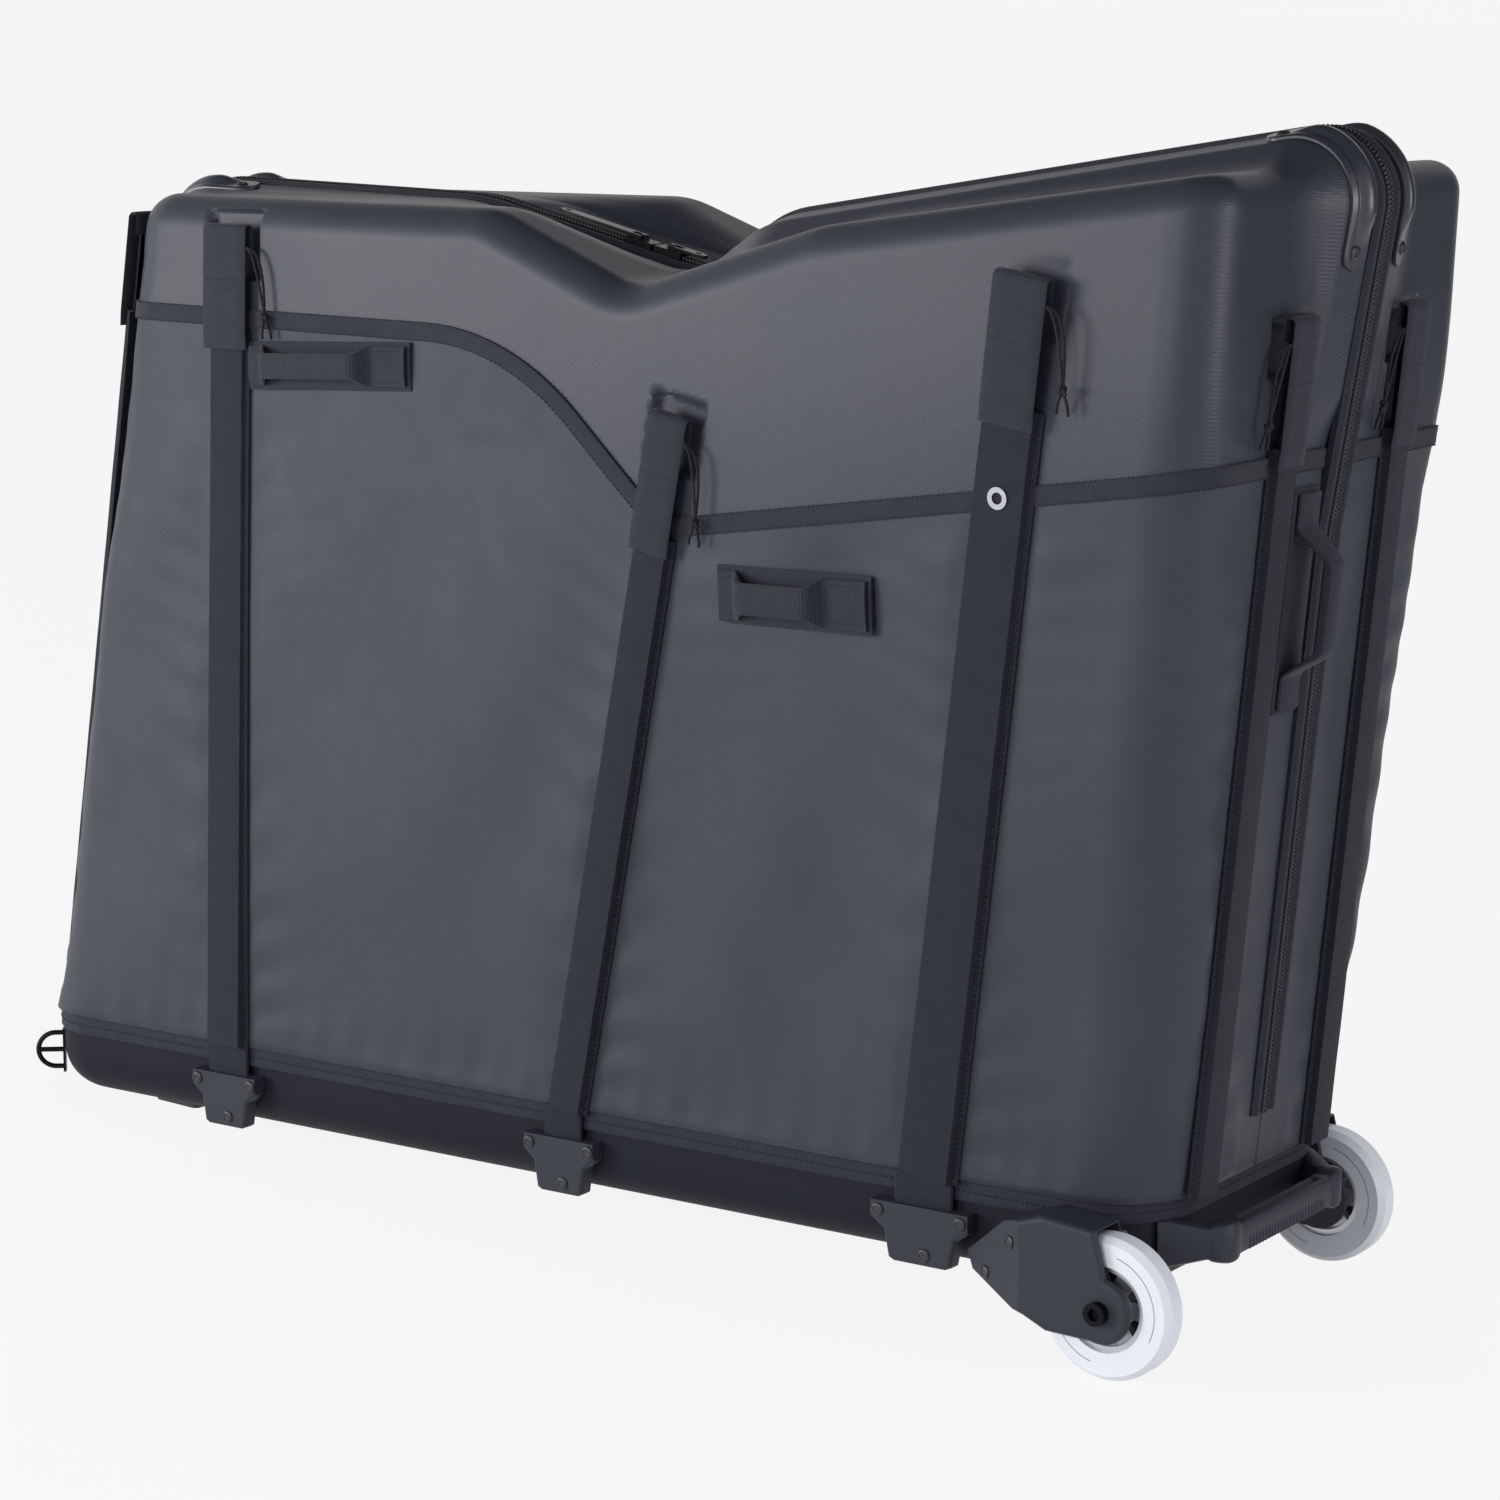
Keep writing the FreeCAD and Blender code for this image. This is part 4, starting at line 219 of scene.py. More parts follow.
def run_and_out(line):
    """Running direction of a flat line, and the direction square to it on its outer side."""
    run = unit(np.gradient(line, axis=0))
    return run, np.stack((run[:, 1], -run[:, 0]), -1)


def side_line(shares):
    corners = [(along_case(x), up_case(z)) for x, z, turn in shares]
    radii = [turn * (RIDGE_PEAK - RIM.height) for x, z, turn in shares]
    return rounded_line(corners, radii, [SIDE_STEPS] * (len(corners) - 1), SIDE_STEPS)


def between_levels(height, low, middle, high):
    """A value carried in straight lines from level to level, with an eased bend at the middle one."""
    slopes = (middle - low) / (HEIGHTS[1] - HEIGHTS[0]), (high - middle) / (HEIGHTS[2] - HEIGHTS[1])
    rise = height - HEIGHTS[1]
    eased = np.maximum(LEVEL_EASE - np.abs(rise), 0) ** 2 / (4 * LEVEL_EASE)
    bend = (slopes[1] - slopes[0]) * eased
    return middle + slopes[0] * np.minimum(rise, 0) + slopes[1] * np.maximum(rise, 0) + bend


def level_value(name, height):
    return between_levels(np.asarray(height, float), *(getattr(level, name) for level in LEVELS))


def flare_value(name, height):
    """A size of the flared wall, run on in a straight line from the rim through the flare."""
    low, high = getattr(RIM, name), getattr(FLARE, name)
    return low + (high - low) * (height - RIM.height) / (FLARE.height - RIM.height)


def stay_half(x, height):
    """Half width of the plane that the stays stand on."""
    front, rear = flare_value("front", height), flare_value("rear", height)
    near, far = flare_value("front_half", height), flare_value("rear_half", height)
    return near + (far - near) * (x + front) / (rear + front)


def side_ends():
    """Where the side's straight run starts and ends at each level, between its two corner arcs."""
    lines = [plan_line(level, 0, (1, 1, 1)) for level in LEVELS]
    return [np.stack([line[place + ARC_STEPS] for line in lines]) for place in (1, 2)]


def side_half(x, height):
    """Half width of the wall: the side's straight run, its ends carried from level to level."""
    starts, ends = side_ends()
    ax, ay, bx, by = (between_levels(height, *row) for row in (*starts.T, *ends.T))
    return -(ay + (by - ay) * (x - ax) / (bx - ax))


TRIM_LINE = side_line(TRIM_SHARES)[::-1]
ROOF_LINE = side_line(ROOF_SHARES)[::-1]
ROOF_SLOPE = np.gradient(ROOF_LINE[:, 1], ROOF_LINE[:, 0] + 1e-9 * np.arange(len(ROOF_LINE)))


def trim_height(x, drop):
    """Height of a line that runs parallel to the tape's upper edge, drop below it."""
    line = TRIM_LINE + drop * run_and_out(TRIM_LINE)[1]
    return np.interp(x, line[:, 0], line[:, 1])


def ridge_run(low):
    """Zip line in the side view: up the rear end, over the ridge and down the front end."""
    knee = up_case(KNEE_SHARE)
    corners = [(level_value("rear", low) + SEAT, low), (level_value("rear", knee) + RIDGE_PROUD, knee)]
    corners += [(along_case(x), up_case(z)) for x, z, turn in RIDGE_SHARES]
    corners += [(-level_value("front", knee) - RIDGE_PROUD, knee), (-level_value("front", low) - SEAT, low)]
    radii = [0, RIDGE_BEND, *(turn * (RIDGE_PEAK - RIM.height) for x, z, turn in RIDGE_SHARES), RIDGE_BEND, 0]
    return rounded_line(corners, radii, [SIDE_STEPS] * (len(corners) - 1), RIDGE_ARC_STEPS)


def plan_line(level, grow, counts):
    """Plan outline of the left half from the front's middle round the side to the rear's middle."""
    front, rear = level.front + grow, level.rear + grow
    corners = ((-front, -HALF_GAP), (-front, -level.front_half - grow),
               (rear, -level.rear_half - grow), (rear, -HALF_GAP))
    radii = (0, level.front_corner + grow, level.rear_corner + grow, 0)
    return rounded_line(corners, radii, counts, ARC_STEPS)


def half_wall(height, grow, counts):
    """Places on the flared wall: plan outlines joined by straight lines from height to height."""
    rings = [plan_line(level, grow, counts)[:, None] for level in LEVELS]
    return np.concatenate((between_levels(height[..., None], *rings), height[..., None]), -1)


def trim_on_wall(drop, grow, counts):
    """Height at which each line of the wall meets the trim, found by walking up to it a few times."""
    height = np.full((len(plan_line(RIM, 0, counts)), 1), up_case(KNEE_SHARE))
    for _ in range(TRIM_WALKS):
        height = trim_height(half_wall(height, grow, counts)[..., 0], drop)
    return height


# Meshes from grids of points

def normals_of(grid):
    return unit(np.cross(np.gradient(grid, axis=0), np.gradient(grid, axis=1)) + 1e-15)


def running(grid, axis):
    """Mean running length along one direction of a grid."""
    step = np.linalg.norm(np.diff(grid, axis=axis), axis=-1).mean(axis=1 - axis)
    return np.concatenate(([0], np.cumsum(step)))


SKIN_SHARP, TAPE_SHARP, STRAP_SHARP, THREAD_SHARP = 60, 50, 40, 80


def mesh_of(name, grids, mirrored, sharp):
    """One mesh from grids of (points, ring, capped): a cell is a quad, a ring closes its second
    parameter, and a capped one gets a face at both ends. The UV map holds metres along the grid,
    and edges bent by more than the sharp angle in degrees stay crisp."""
    points, faces, maps, count = [], [], [], 0
    for grid, ring, capped in grids:
        grid = np.array(grid, float)
        if mirrored:
            grid[..., 1] *= -1
        rows, columns = grid.shape[:2]
        index = np.arange(rows * columns).reshape(rows, columns) + count
        wide = np.concatenate((grid, grid[:, :1]), 1) if ring else grid
        index = np.concatenate((index, index[:, :1]), 1) if ring else index
        along, across = np.meshgrid(running(wide, 0), running(wide, 1), indexing="ij")
        place = np.stack((along, across), -1)
        cells = [(slice(None, -1), slice(None, -1)), (slice(1, None), slice(None, -1)),
                 (slice(1, None), slice(1, None)), (slice(None, -1), slice(1, None))]
        cells = cells[::-1] if mirrored else cells
        faces += np.stack([index[cell] for cell in cells], -1).reshape(-1, 4).tolist()
        maps.append(np.stack([place[cell] for cell in cells], -2).reshape(-1, 2))
        if capped:
            ends = [index[0, :columns].tolist(), index[-1, :columns][::-1].tolist()]
            faces += [end[::-1] for end in ends] if mirrored else ends
            maps.append(np.zeros((2 * columns, 2)))
        points.append(grid.reshape(-1, 3))
        count += rows * columns
    mesh = bpy.data.meshes.new(name)
    mesh.from_pydata(stand(np.concatenate(points)).tolist(), [], faces)
    layer = mesh.uv_layers.new(name="UVMap")
    layer.data.foreach_set("uv", np.concatenate(maps).ravel())
    mesh.shade_smooth()
    mesh.set_sharp_from_angle(angle=math.radians(sharp))
    mesh.update()
    return mesh


def dress(name, mesh, material, body, nodes=()):
    """An object at the origin that rides on a body and stands for CAD nodes."""
    piece = bpy.data.objects.new(name, mesh)
    bpy.context.scene.collection.objects.link(piece)
    mesh.materials.append(material)
    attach(piece, body)
    if nodes:
        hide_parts(*nodes)
    return piece


def make(name, grids, mirrored, sharp, material, body, nodes=()):
    """A piece from grids of points."""
    return dress(name, mesh_of(name, grids, mirrored, sharp), material, body, nodes)


def thicken(piece, wall):
    """A wall inward from the surface."""
    solid = piece.modifiers.new("wall", "SOLIDIFY")
    solid.thickness = wall
    solid.offset = -1


HALVES = (("left", False), ("right", True))


# Frames on the half's faces: w across, u up, n outward

STAY_FOOT_SHARES = (0.2087, 0.5291, 0.8301)
STAY_HEAD_SHARES = (0.2087, 0.6330, 0.9233)
FLAP_LOW_SHARES = (0.7465, 0.5790, 0.7285)
FLAP_HIGH_SHARES = (0.8670, 0.7064, 0.8573)
END_LOW_SHARES = (0.7590, 0.6911)
END_HIGH_SHARES = (0.8726, 0.8186)
SLEEVE_WIDTHS = (0.041, 0.035, 0.048)
FLAP_WIDTHS = (0.044, 0.034, 0.042)
END_SLEEVE, END_FLAP, END_STAY = 0.034, 0.036, 0.084
STAND_OFF = 0.0034
SLEEVE_TOP, FLAP_TOP = 0.0050, 0.0085


def side_place(x, height):
    return np.array((x, -float(stay_half(x, height)), height))


def stay_frame(foot, head, across, name, low, high, sleeve, flap):
    u = unit(head - foot)
    n = unit(np.cross(across, u))
    scale = np.linalg.norm(head - foot) / (head[2] - foot[2])
    return SimpleNamespace(name=name, origin=foot + n * STAND_OFF, w=np.cross(u, n), u=u, n=n,
                           low=(low - RIM.height) * scale, high=(high - RIM.height) * scale,
                           sleeve=sleeve, flap=flap)


def stay_frames():
    """Five frames of the left half: three on the side, one on each end."""
    frames = []
    for index, name in enumerate(("front", "middle", "rear")):
        low, high = up_case(FLAP_LOW_SHARES[index]), up_case(FLAP_HIGH_SHARES[index])
        foot = side_place(along_case(STAY_FOOT_SHARES[index]), RIM.height)
        head = side_place(along_case(STAY_HEAD_SHARES[index]), high)
        middle, reach = (foot + head) / 2, SLEEVE_WIDTHS[-1]
        across = side_place(middle[0] + reach, middle[2]) - side_place(middle[0] - reach, middle[2])
        frames.append(stay_frame(foot, head, across, name, low, high,
                                 SLEEVE_WIDTHS[index], FLAP_WIDTHS[index]))
    ends = (("front_end", lambda z: -flare_value("front", z), (0, -1, 0)),
            ("rear_end", lambda z: flare_value("rear", z), (0, 1, 0)))
    for index, (name, face, across) in enumerate(ends):
        low, high = up_case(END_LOW_SHARES[index]), up_case(END_HIGH_SHARES[index])
        foot, head = (np.array((float(face(z)), -END_STAY, z)) for z in (RIM.height, high))
        frames.append(stay_frame(foot, head, np.array(across), name, low, high, END_SLEEVE, END_FLAP))
    return frames


def on_frame(spot, w, u, n):
    """Places at w across, u up and n outward of a frame."""
    w, u, n = np.broadcast_arrays(w, u, n)
    return spot.origin + w[..., None] * spot.w + u[..., None] * spot.u + n[..., None] * spot.n


def wall_depth(spot, w, u):
    """How far along n the wall lies from the frame's plane, on a side or on an end."""
    place = on_frame(spot, w, u, 0.0)
    if abs(spot.n[0]) > abs(spot.n[1]):
        name, way = ("front", -1) if spot.n[0] < 0 else ("rear", 1)
        return (way * level_value(name, place[..., 2]) - place[..., 0]) / spot.n[0]
    return (-side_half(place[..., 0], place[..., 2]) - place[..., 1]) / spot.n[1]


def ribbon(centres, across, outward, widths, thicks, bow=0.0):
    """A flat strip as a ring of ten places round each centre: a rounded oblong, its face bowed outward."""
    ring_w = np.array((-0.5, -0.47, -0.25, 0.25, 0.47, 0.5, 0.47, 0.25, -0.25, -0.47))
    ring_n = np.array((0.0, 0.42, 0.5, 0.5, 0.42, 0.0, -0.42, -0.5, -0.5, -0.42))
    lift = bow * (1 - (2 * ring_w) ** 2)
    widths, thicks = (np.broadcast_to(value, len(centres))[:, None, None] for value in (widths, thicks))
    across, outward = (np.broadcast_to(value, centres.shape)[:, None] for value in (across, outward))
    rise = thicks * ring_n[:, None] + lift[:, None]
    return centres[:, None] + across * widths * ring_w[:, None] + outward * rise


THREAD_RADIUS, STITCH_LIFT = 0.00042, 0.0003
BAR_REACH, BAR_FAT, BAR_SIDES = (-0.36, -0.24, 0.24, 0.36), (0.25, 1.0, 1.0, 0.25), 6


def stitches(places, along, outward, pitch):
    """Thread over cloth: one small rounded bar on every pitch of a line, as four rings of six places."""
    line = np.concatenate((places, along, outward), 1)
    length = length_along(places)
    spots = np.arange(pitch / 2, length[-1], pitch)
    line = np.stack([np.interp(spots, length, column) for column in line.T], -1)
    centre, way, out = line[:, :3], unit(line[:, 3:6]), unit(line[:, 6:])
    side = np.cross(way, out)
    reach = np.array(BAR_REACH)[:, None, None] * pitch
    fat = THREAD_RADIUS * np.array(BAR_FAT)[:, None, None]
    turn = np.linspace(0, 2 * math.pi, BAR_SIDES, endpoint=False)[:, None]
    bars = []
    for spot in range(len(spots)):
        ring = np.cos(turn) * side[spot] + np.sin(turn) * out[spot]
        bars.append((centre[spot] + reach * way[spot] + fat * ring, True, True))
    return bars


def level_stitches(spot, places, along, pitch):
    """Stitches on a frame: one running direction, the frame's own outward direction."""
    along, outward = (np.broadcast_to(way, places.shape) for way in (along, spot.n))
    return stitches(places, along, outward, pitch)


# Materials: small functions add nodes, the rest name real finishes; the rivets' colour also holds painted
# shade

def add(tree, kind, inputs=None, **settings):
    """Adds a node, sets its properties, and gives each named input a value or a link."""
    node = tree.nodes.new(kind)
    for key, value in settings.items():
        setattr(node, key, value)
    for key, value in (inputs or {}).items():
        if isinstance(value, bpy.types.NodeSocket):
            tree.links.new(value, node.inputs[key])
        else:
            node.inputs[key].default_value = value
    return node


def spaced(sockets):
    """Socket names with spaces in place of underscores."""
    return {key.replace("_", " "): value for key, value in sockets.items()}


def start_material(name, **sockets):
    """A material with an output, a principled shader and the shader's uniform values."""
    material = bpy.data.materials.get(name)
    if material:
        return material, None, None
    material = bpy.data.materials.new(name)
    material.use_nodes = True
    tree = material.node_tree
    tree.nodes.clear()
    shader = add(tree, "ShaderNodeBsdfPrincipled", spaced(sockets))
    add(tree, "ShaderNodeOutputMaterial", {"Surface": shader.outputs[0]})
    return material, tree, shader


def place_on(tree, kind):
    return add(tree, "ShaderNodeTexCoord").outputs[kind]


def maths(tree, operation, *values):
    return add(tree, "ShaderNodeMath", dict(enumerate(values)), operation=operation).outputs[0]


def blend(tree, value, first, second):
    """Colour between two colours, led by a 0 to 1 value."""
    return add(tree, "ShaderNodeMix", {0: value, 6: first, 7: second}, data_type="RGBA").outputs[2]


def noise(tree, place, scale, detail, **sockets):
    """A cloudy 0 to 1 value."""
    inputs = {"Vector": place, "Scale": scale, "Detail": detail, **spaced(sockets)}
    return add(tree, "ShaderNodeTexNoise", inputs).outputs["Fac"]


WAVE_SPAN = 20


def stripes(tree, place, pitch, distortion, direction="X", **sockets):
    """A 0 to 1 value with one band on every pitch."""
    inputs = {"Vector": place, "Scale": 2 * math.pi / (WAVE_SPAN * pitch), "Distortion": distortion,
              "Detail": 1.0, **spaced(sockets)}
    return add(tree, "ShaderNodeTexWave", inputs, bands_direction=direction).outputs["Fac"]


def shades(code, low, high):
    """A darker and a lighter mix of one colour."""
    base = np.array(linear(code)[:3])
    return [(*(base * share), 1) for share in (low, high)]


def tone(tree, shader, code, value, low, high):
    """Base colour between a darker and a lighter mix of one colour, led by a 0 to 1 value."""
    tree.links.new(blend(tree, value, *shades(code, low, high)), shader.inputs["Base Color"])


def roughen(tree, shader, value, low, high):
    """Roughness between two values, led by a 0 to 1 value."""
    rough = add(tree, "ShaderNodeMapRange", {"Value": value, "To Min": low, "To Max": high})
    tree.links.new(rough.outputs[0], shader.inputs["Roughness"])


def bump(tree, shader, height, depth, strength):
    relief = add(tree, "ShaderNodeBump", {"Height": height, "Distance": depth, "Strength": strength})
    tree.links.new(relief.outputs[0], shader.inputs["Normal"])


TWILL_ANGLES, TWILL_TILT = (35, -50), 0.35


def shell_material():
    """Polycarbonate pressed on a twill-grained tool: satin, with a fine diagonal line in raking light."""
    material, tree, shader = start_material("polycarbonate_twill", Roughness=0.42, IOR=1.58,
                                            Specular_IOR_Level=0.22)
    if tree:
        place = place_on(tree, "Object")
        lines = []
        for angle in TWILL_ANGLES:
            turn = (0, math.radians(angle), TWILL_TILT)
            turned = add(tree, "ShaderNodeMapping", {"Vector": place, "Rotation": turn})
            lines.append(stripes(tree, turned.outputs[0], sizes().twill_pitch, 0.3, Detail_Scale=0.5))
        cross = maths(tree, "MULTIPLY", *lines)
        cloud = noise(tree, place, 9.0, 3.0)
        tone(tree, shader, colours().shell, maths(tree, "MULTIPLY_ADD", cross, 0.55, cloud), 0.80, 1.16)
        roughen(tree, shader, cloud, 0.37, 0.47)
        bump(tree, shader, cross, 0.0003, 0.30)
    return material


def cloth_material(name="coated_polyester", code=None, roughness=0.50):
    """Polyester with a coating: an even, slightly greasy sheen over a fine square weave."""
    material, tree, shader = start_material(name, Roughness=roughness, IOR=1.5, Specular_IOR_Level=0.22,
                                            Sheen_Weight=0.06, Sheen_Roughness=0.5)
    if tree:
        place = place_on(tree, "UV")
        threads = [stripes(tree, place, sizes().weave_pitch, 0.4, axis) for axis in ("X", "Y")]
        weave = maths(tree, "MULTIPLY", *threads)
        cloud = noise(tree, place, 6.0, 5.0, Roughness=0.6)
        fold = noise(tree, place, 34.0, 4.0, Distortion=0.8)
        mix = maths(tree, "MULTIPLY_ADD", weave, 0.2, cloud)
        tone(tree, shader, code or colours().cloth, mix, 0.82, 1.14)
        roughen(tree, shader, fold, roughness - 0.08, roughness + 0.10)
        bump(tree, shader, maths(tree, "MULTIPLY_ADD", fold, 2.2, weave), 0.0004, 0.22)
    return material


def webbing_material(name, code, pitch, roughness=0.72):
    """Woven polyester tape: round ribs across the run, thread by thread, with a dull face."""
    material, tree, shader = start_material(name, Roughness=roughness, IOR=1.5, Specular_IOR_Level=0.15,
                                            Sheen_Weight=0.12, Sheen_Roughness=0.4)
    if tree:
        place = place_on(tree, "UV")
        ribs = stripes(tree, place, pitch, 0.5)
        yarn = stripes(tree, place, pitch * 0.7, 0.6, "DIAGONAL")
        weave = maths(tree, "MULTIPLY_ADD", yarn, 0.5, ribs)
        mix = maths(tree, "MULTIPLY_ADD", weave, 0.45, noise(tree, place, 60.0, 4.0))
        tone(tree, shader, code, mix, 0.66, 1.18)
        bump(tree, shader, weave, 0.0005, 0.55)
    return material


def moulded_material(name, code, roughness, grain, **sockets):
    """Injection-moulded plastic from a spark-eroded tool: a fine even grain and soft highlights."""
    material, tree, shader = start_material(name, Roughness=roughness, IOR=1.5, **sockets)
    if tree:
        place = place_on(tree, "Object")
        broad = noise(tree, place, 14.0, 4.0)
        tone(tree, shader, code, broad, 0.84, 1.14)
        roughen(tree, shader, broad, roughness - 0.07, roughness + 0.08)
        bump(tree, shader, noise(tree, place, 1 / grain, 3.0, Roughness=0.6), 0.0003, 0.18)
    return material


def metal_material(name, code, roughness, streak):
    """Machined or cast metal: streaks too fine to see one by one, drawn wide enough to break the gloss."""
    material, tree, shader = start_material(name, Roughness=roughness, Metallic=1.0)
    if tree:
        thin = add(tree, "ShaderNodeMapping", {"Vector": place_on(tree, "Object"), "Scale": (1, streak, 1)})
        lines = noise(tree, thin.outputs[0], 700.0, 3.0)
        tone(tree, shader, code, lines, 0.86, 1.10)
        roughen(tree, shader, lines, roughness - 0.06, roughness + 0.09)
        bump(tree, shader, lines, 0.0001, 0.12)
    return material


TYRE_LINE_RADIUS, TYRE_LINE_HALF, TYRE_LINE_TURN, TYRE_LINE_GAP = 0.0385, 0.00035, 0.6, -0.2


def tyre_material(side):
    """Cast polyurethane: milky white, with two plain printed arcs on the wall of each wheel."""
    material, tree, shader = start_material("white_polyurethane_" + side, Roughness=0.38, IOR=1.5,
                                            Subsurface_Weight=0.12, Subsurface_Radius=(0.004, 0.004, 0.004),
                                            Specular_IOR_Level=0.4)
    if tree:
        place = place_on(tree, "Object")
        centre = add(tree, "ShaderNodeVectorMath", {0: place, 1: tuple(AXLE)}, operation="SUBTRACT")
        flat = add(tree, "ShaderNodeVectorMath", {0: centre.outputs[0], 1: (1, 0, 1)}, operation="MULTIPLY")
        reach = add(tree, "ShaderNodeVectorMath", {0: flat.outputs[0]}, operation="LENGTH")
        near = maths(tree, "COMPARE", reach.outputs["Value"], TYRE_LINE_RADIUS, TYRE_LINE_HALF)
        parts = add(tree, "ShaderNodeSeparateXYZ", {0: flat.outputs[0]})
        angle = maths(tree, "ARCTAN2", parts.outputs[2], parts.outputs[0])
        wave = maths(tree, "SINE", maths(tree, "MULTIPLY_ADD", angle, 2.0, TYRE_LINE_TURN))
        line = maths(tree, "MULTIPLY", near, maths(tree, "GREATER_THAN", wave, TYRE_LINE_GAP))
        cloud = noise(tree, place, 40.0, 3.0)
        body = blend(tree, cloud, *shades(colours().tyre, 0.95, 1.03))
        mark = blend(tree, line, body, linear(colours().line))
        tree.links.new(mark, shader.inputs["Base Color"])
        bump(tree, shader, cloud, 0.0004, 0.08)
    return material


def thread_material():
    return webbing_material("bonded_thread", colours().thread, sizes().stitch_pitch / 3, 0.6)


def strap_material():
    return webbing_material("polyester_webbing", colours().webbing, sizes().rib_pitch)


def sleeve_material():
    return webbing_material("tight_webbing", colours().sleeve, sizes().rib_pitch)


def tape_material():
    return webbing_material("grosgrain_tape", colours().tape, sizes().rib_pitch * 0.8)


# Rivet heads take the black steel colour: the rivets' own dark colour, made darker still as painted shade for
# the dark outline round each head.
def rivet_and_shade_material():
    return moulded_material("painted_rivet", colours().black, 0.40, 0.0008, Specular_IOR_Level=0.5)


def finish(node, material):
    """Gives a CAD node one material in all its slots."""
    mesh = frame["nodes"][node].data
    mesh.materials.clear()
    mesh.materials.append(material)


# Operators: one for each piece or group of like pieces

class CASE_OT_rigid_finishes(bpy.types.Operator):
    """Gives the moulded, metal and rubber nodes of the frame their materials."""
    bl_idname = "case.rigid_finishes"
    bl_label = "Finish rigid pieces"

    def execute(self, context):
        tint = colours()
        tray = moulded_material("tray_polyethylene", tint.tray, 0.60, 0.0011, Specular_IOR_Level=0.12)
        nylon = moulded_material("glass_filled_nylon", tint.nylon, 0.50, 0.0009, Specular_IOR_Level=0.22)
        rubber = moulded_material("moulded_rubber", tint.rubber, 0.42, 0.0012, Specular_IOR_Level=0.35)
        alloy = metal_material("cast_aluminium", tint.alloy, 0.27, 0.2)
        steel = metal_material("ground_steel", tint.steel, 0.22, 0.1)
        black = metal_material("blacked_steel", tint.black, 0.40, 0.3)
        lacquer = moulded_material("lacquered_zinc", tint.black, 0.33, 0.0007, Specular_IOR_Level=0.5)
        table = {
            tray: ("base_tray",),
            nylon: ("left_wheel_bracket", "right_wheel_bracket", "rear_pull_handle", "left_stay_sockets",
                    "right_stay_sockets", "fork_knob", "dropout_knob"),
            rubber: ("front_pads", "rail_feet"),
            alloy: ("left_wheel_core", "right_wheel_core", "bike_rail", "fork_mount", "dropout_mount",
                    "axle_spacers"),
            steel: ("left_bearings", "right_bearings", "left_bearing_spacer", "right_bearing_spacer",
                    "left_eyelet", "right_eyelet", "fork_dummy_hub", "dropout_dummy_hub"),
            black: ("axle_bolts", "front_rings", "rail_screws", "left_stays", "right_stays"),
            lacquer: ("front_slider", "front_puller", "rear_slider", "rear_puller"),
        }
        for material, nodes in table.items():
            for node in nodes:
                finish(node, material)
        for side, _ in HALVES:
            finish(side + "_tyre", tyre_material(side))
        return {"FINISHED"}


WALL_COUNTS = (18, 150, 26)
CLOTH_ROWS = 84
CLOTH_EDGE_SHARE, CLOTH_MIDDLE, TOP_FADE, FOOT_FADE = 0.62, 0.05, 14, 30
RIM_FADE, RIM_FOLD = 0.020, 0.031
SEAM_FADE, SEAM_FOLD, SEAM_EDGE, SEAM_DEPTH = 0.030, 0.041, 0.012, 0.02


def cloth_waves(place, length, spots):
    """Height of the cloth over its flat cut: slow crossing waves, small upright folds near the rim,
    and short folds beside each sleeve's seams."""
    z = place[..., 2]
    bend = 0.9 * np.sin(6.0 * z + 5.0 * length) + 0.6 * np.sin(11.0 * length - 4.0 * z)
    slow = (np.sin(21.0 * length + 9.0 * z + bend) * (0.6 + 0.4 * np.sin(5.0 * length + 7.0 * z))
            + 0.7 * np.sin(33.0 * length - 16.0 * z + 2.0 + 1.4 * bend) * np.sin(8.0 * z + 3.0 * length)
            + 0.30 * np.sin(58.0 * length + 31.0 * z + 2.0 * bend))
    height = sizes().cloth_swell * slow
    rim = np.exp(-(z - RIM.height) / RIM_FADE)
    folds = np.sin(2 * math.pi * length / RIM_FOLD + 2.0 * np.sin(19.0 * length))
    height += sizes().cloth_pucker * rim * folds
    for spot in spots:
        rel = place - spot.origin
        w, u, n = rel @ spot.w, rel @ spot.u, rel @ spot.n
        beside = np.abs(w) - spot.sleeve / 2
        near = np.exp(-np.maximum(beside, 0) / SEAM_FADE) * (np.abs(n) < SEAM_DEPTH)
        phase = 2 * math.pi * (u - 0.35 * np.abs(w)) / SEAM_FOLD + 2.5 * np.sin(u / 0.06) + np.sign(w)
        height += sizes().cloth_pucker * near * np.sin(phase) * (0.55 + 0.45 * np.sin(u / 0.09 + w * 30))
        height *= np.where(np.abs(n) < SEAM_DEPTH, np.clip(beside / SEAM_EDGE, 0, 1), 1)
    return height


class CASE_OT_cloth_sides(bpy.types.Operator):
    """Cloth walls: the flared plan outlines joined from the rim to the trim line, with waves and puckers."""
    bl_idname = "case.cloth_sides"
    bl_label = "Cloth sides"

    def execute(self, context):
        material = cloth_material()
        top = trim_on_wall(sizes().tape_width * CLOTH_EDGE_SHARE, 0, WALL_COUNTS)
        share = np.linspace(0, 1, CLOTH_ROWS)[None]
        height = RIM.height + SEAT + (top - RIM.height - SEAT) * share
        wall = half_wall(height, 0, WALL_COUNTS)
        length = running(wall, 0)[:, None]
        edge = np.minimum(1, (1 - share) * TOP_FADE) * np.minimum(1, share * FOOT_FADE)
        middle = np.minimum(1, np.abs(wall[..., 1]) / CLOTH_MIDDLE)
        waves = cloth_waves(wall, length, stay_frames()) * edge * middle
        wall = wall + normals_of(wall) * waves[..., None]
        for side, mirrored in HALVES:
            piece = make(side + "_cloth_panel", [(wall, False, False)], mirrored, SKIN_SHARP, material,
                         side + "_side", [side + "_cloth_side"])
            thicken(piece, sizes().cloth_wall)
        return {"FINISHED"}


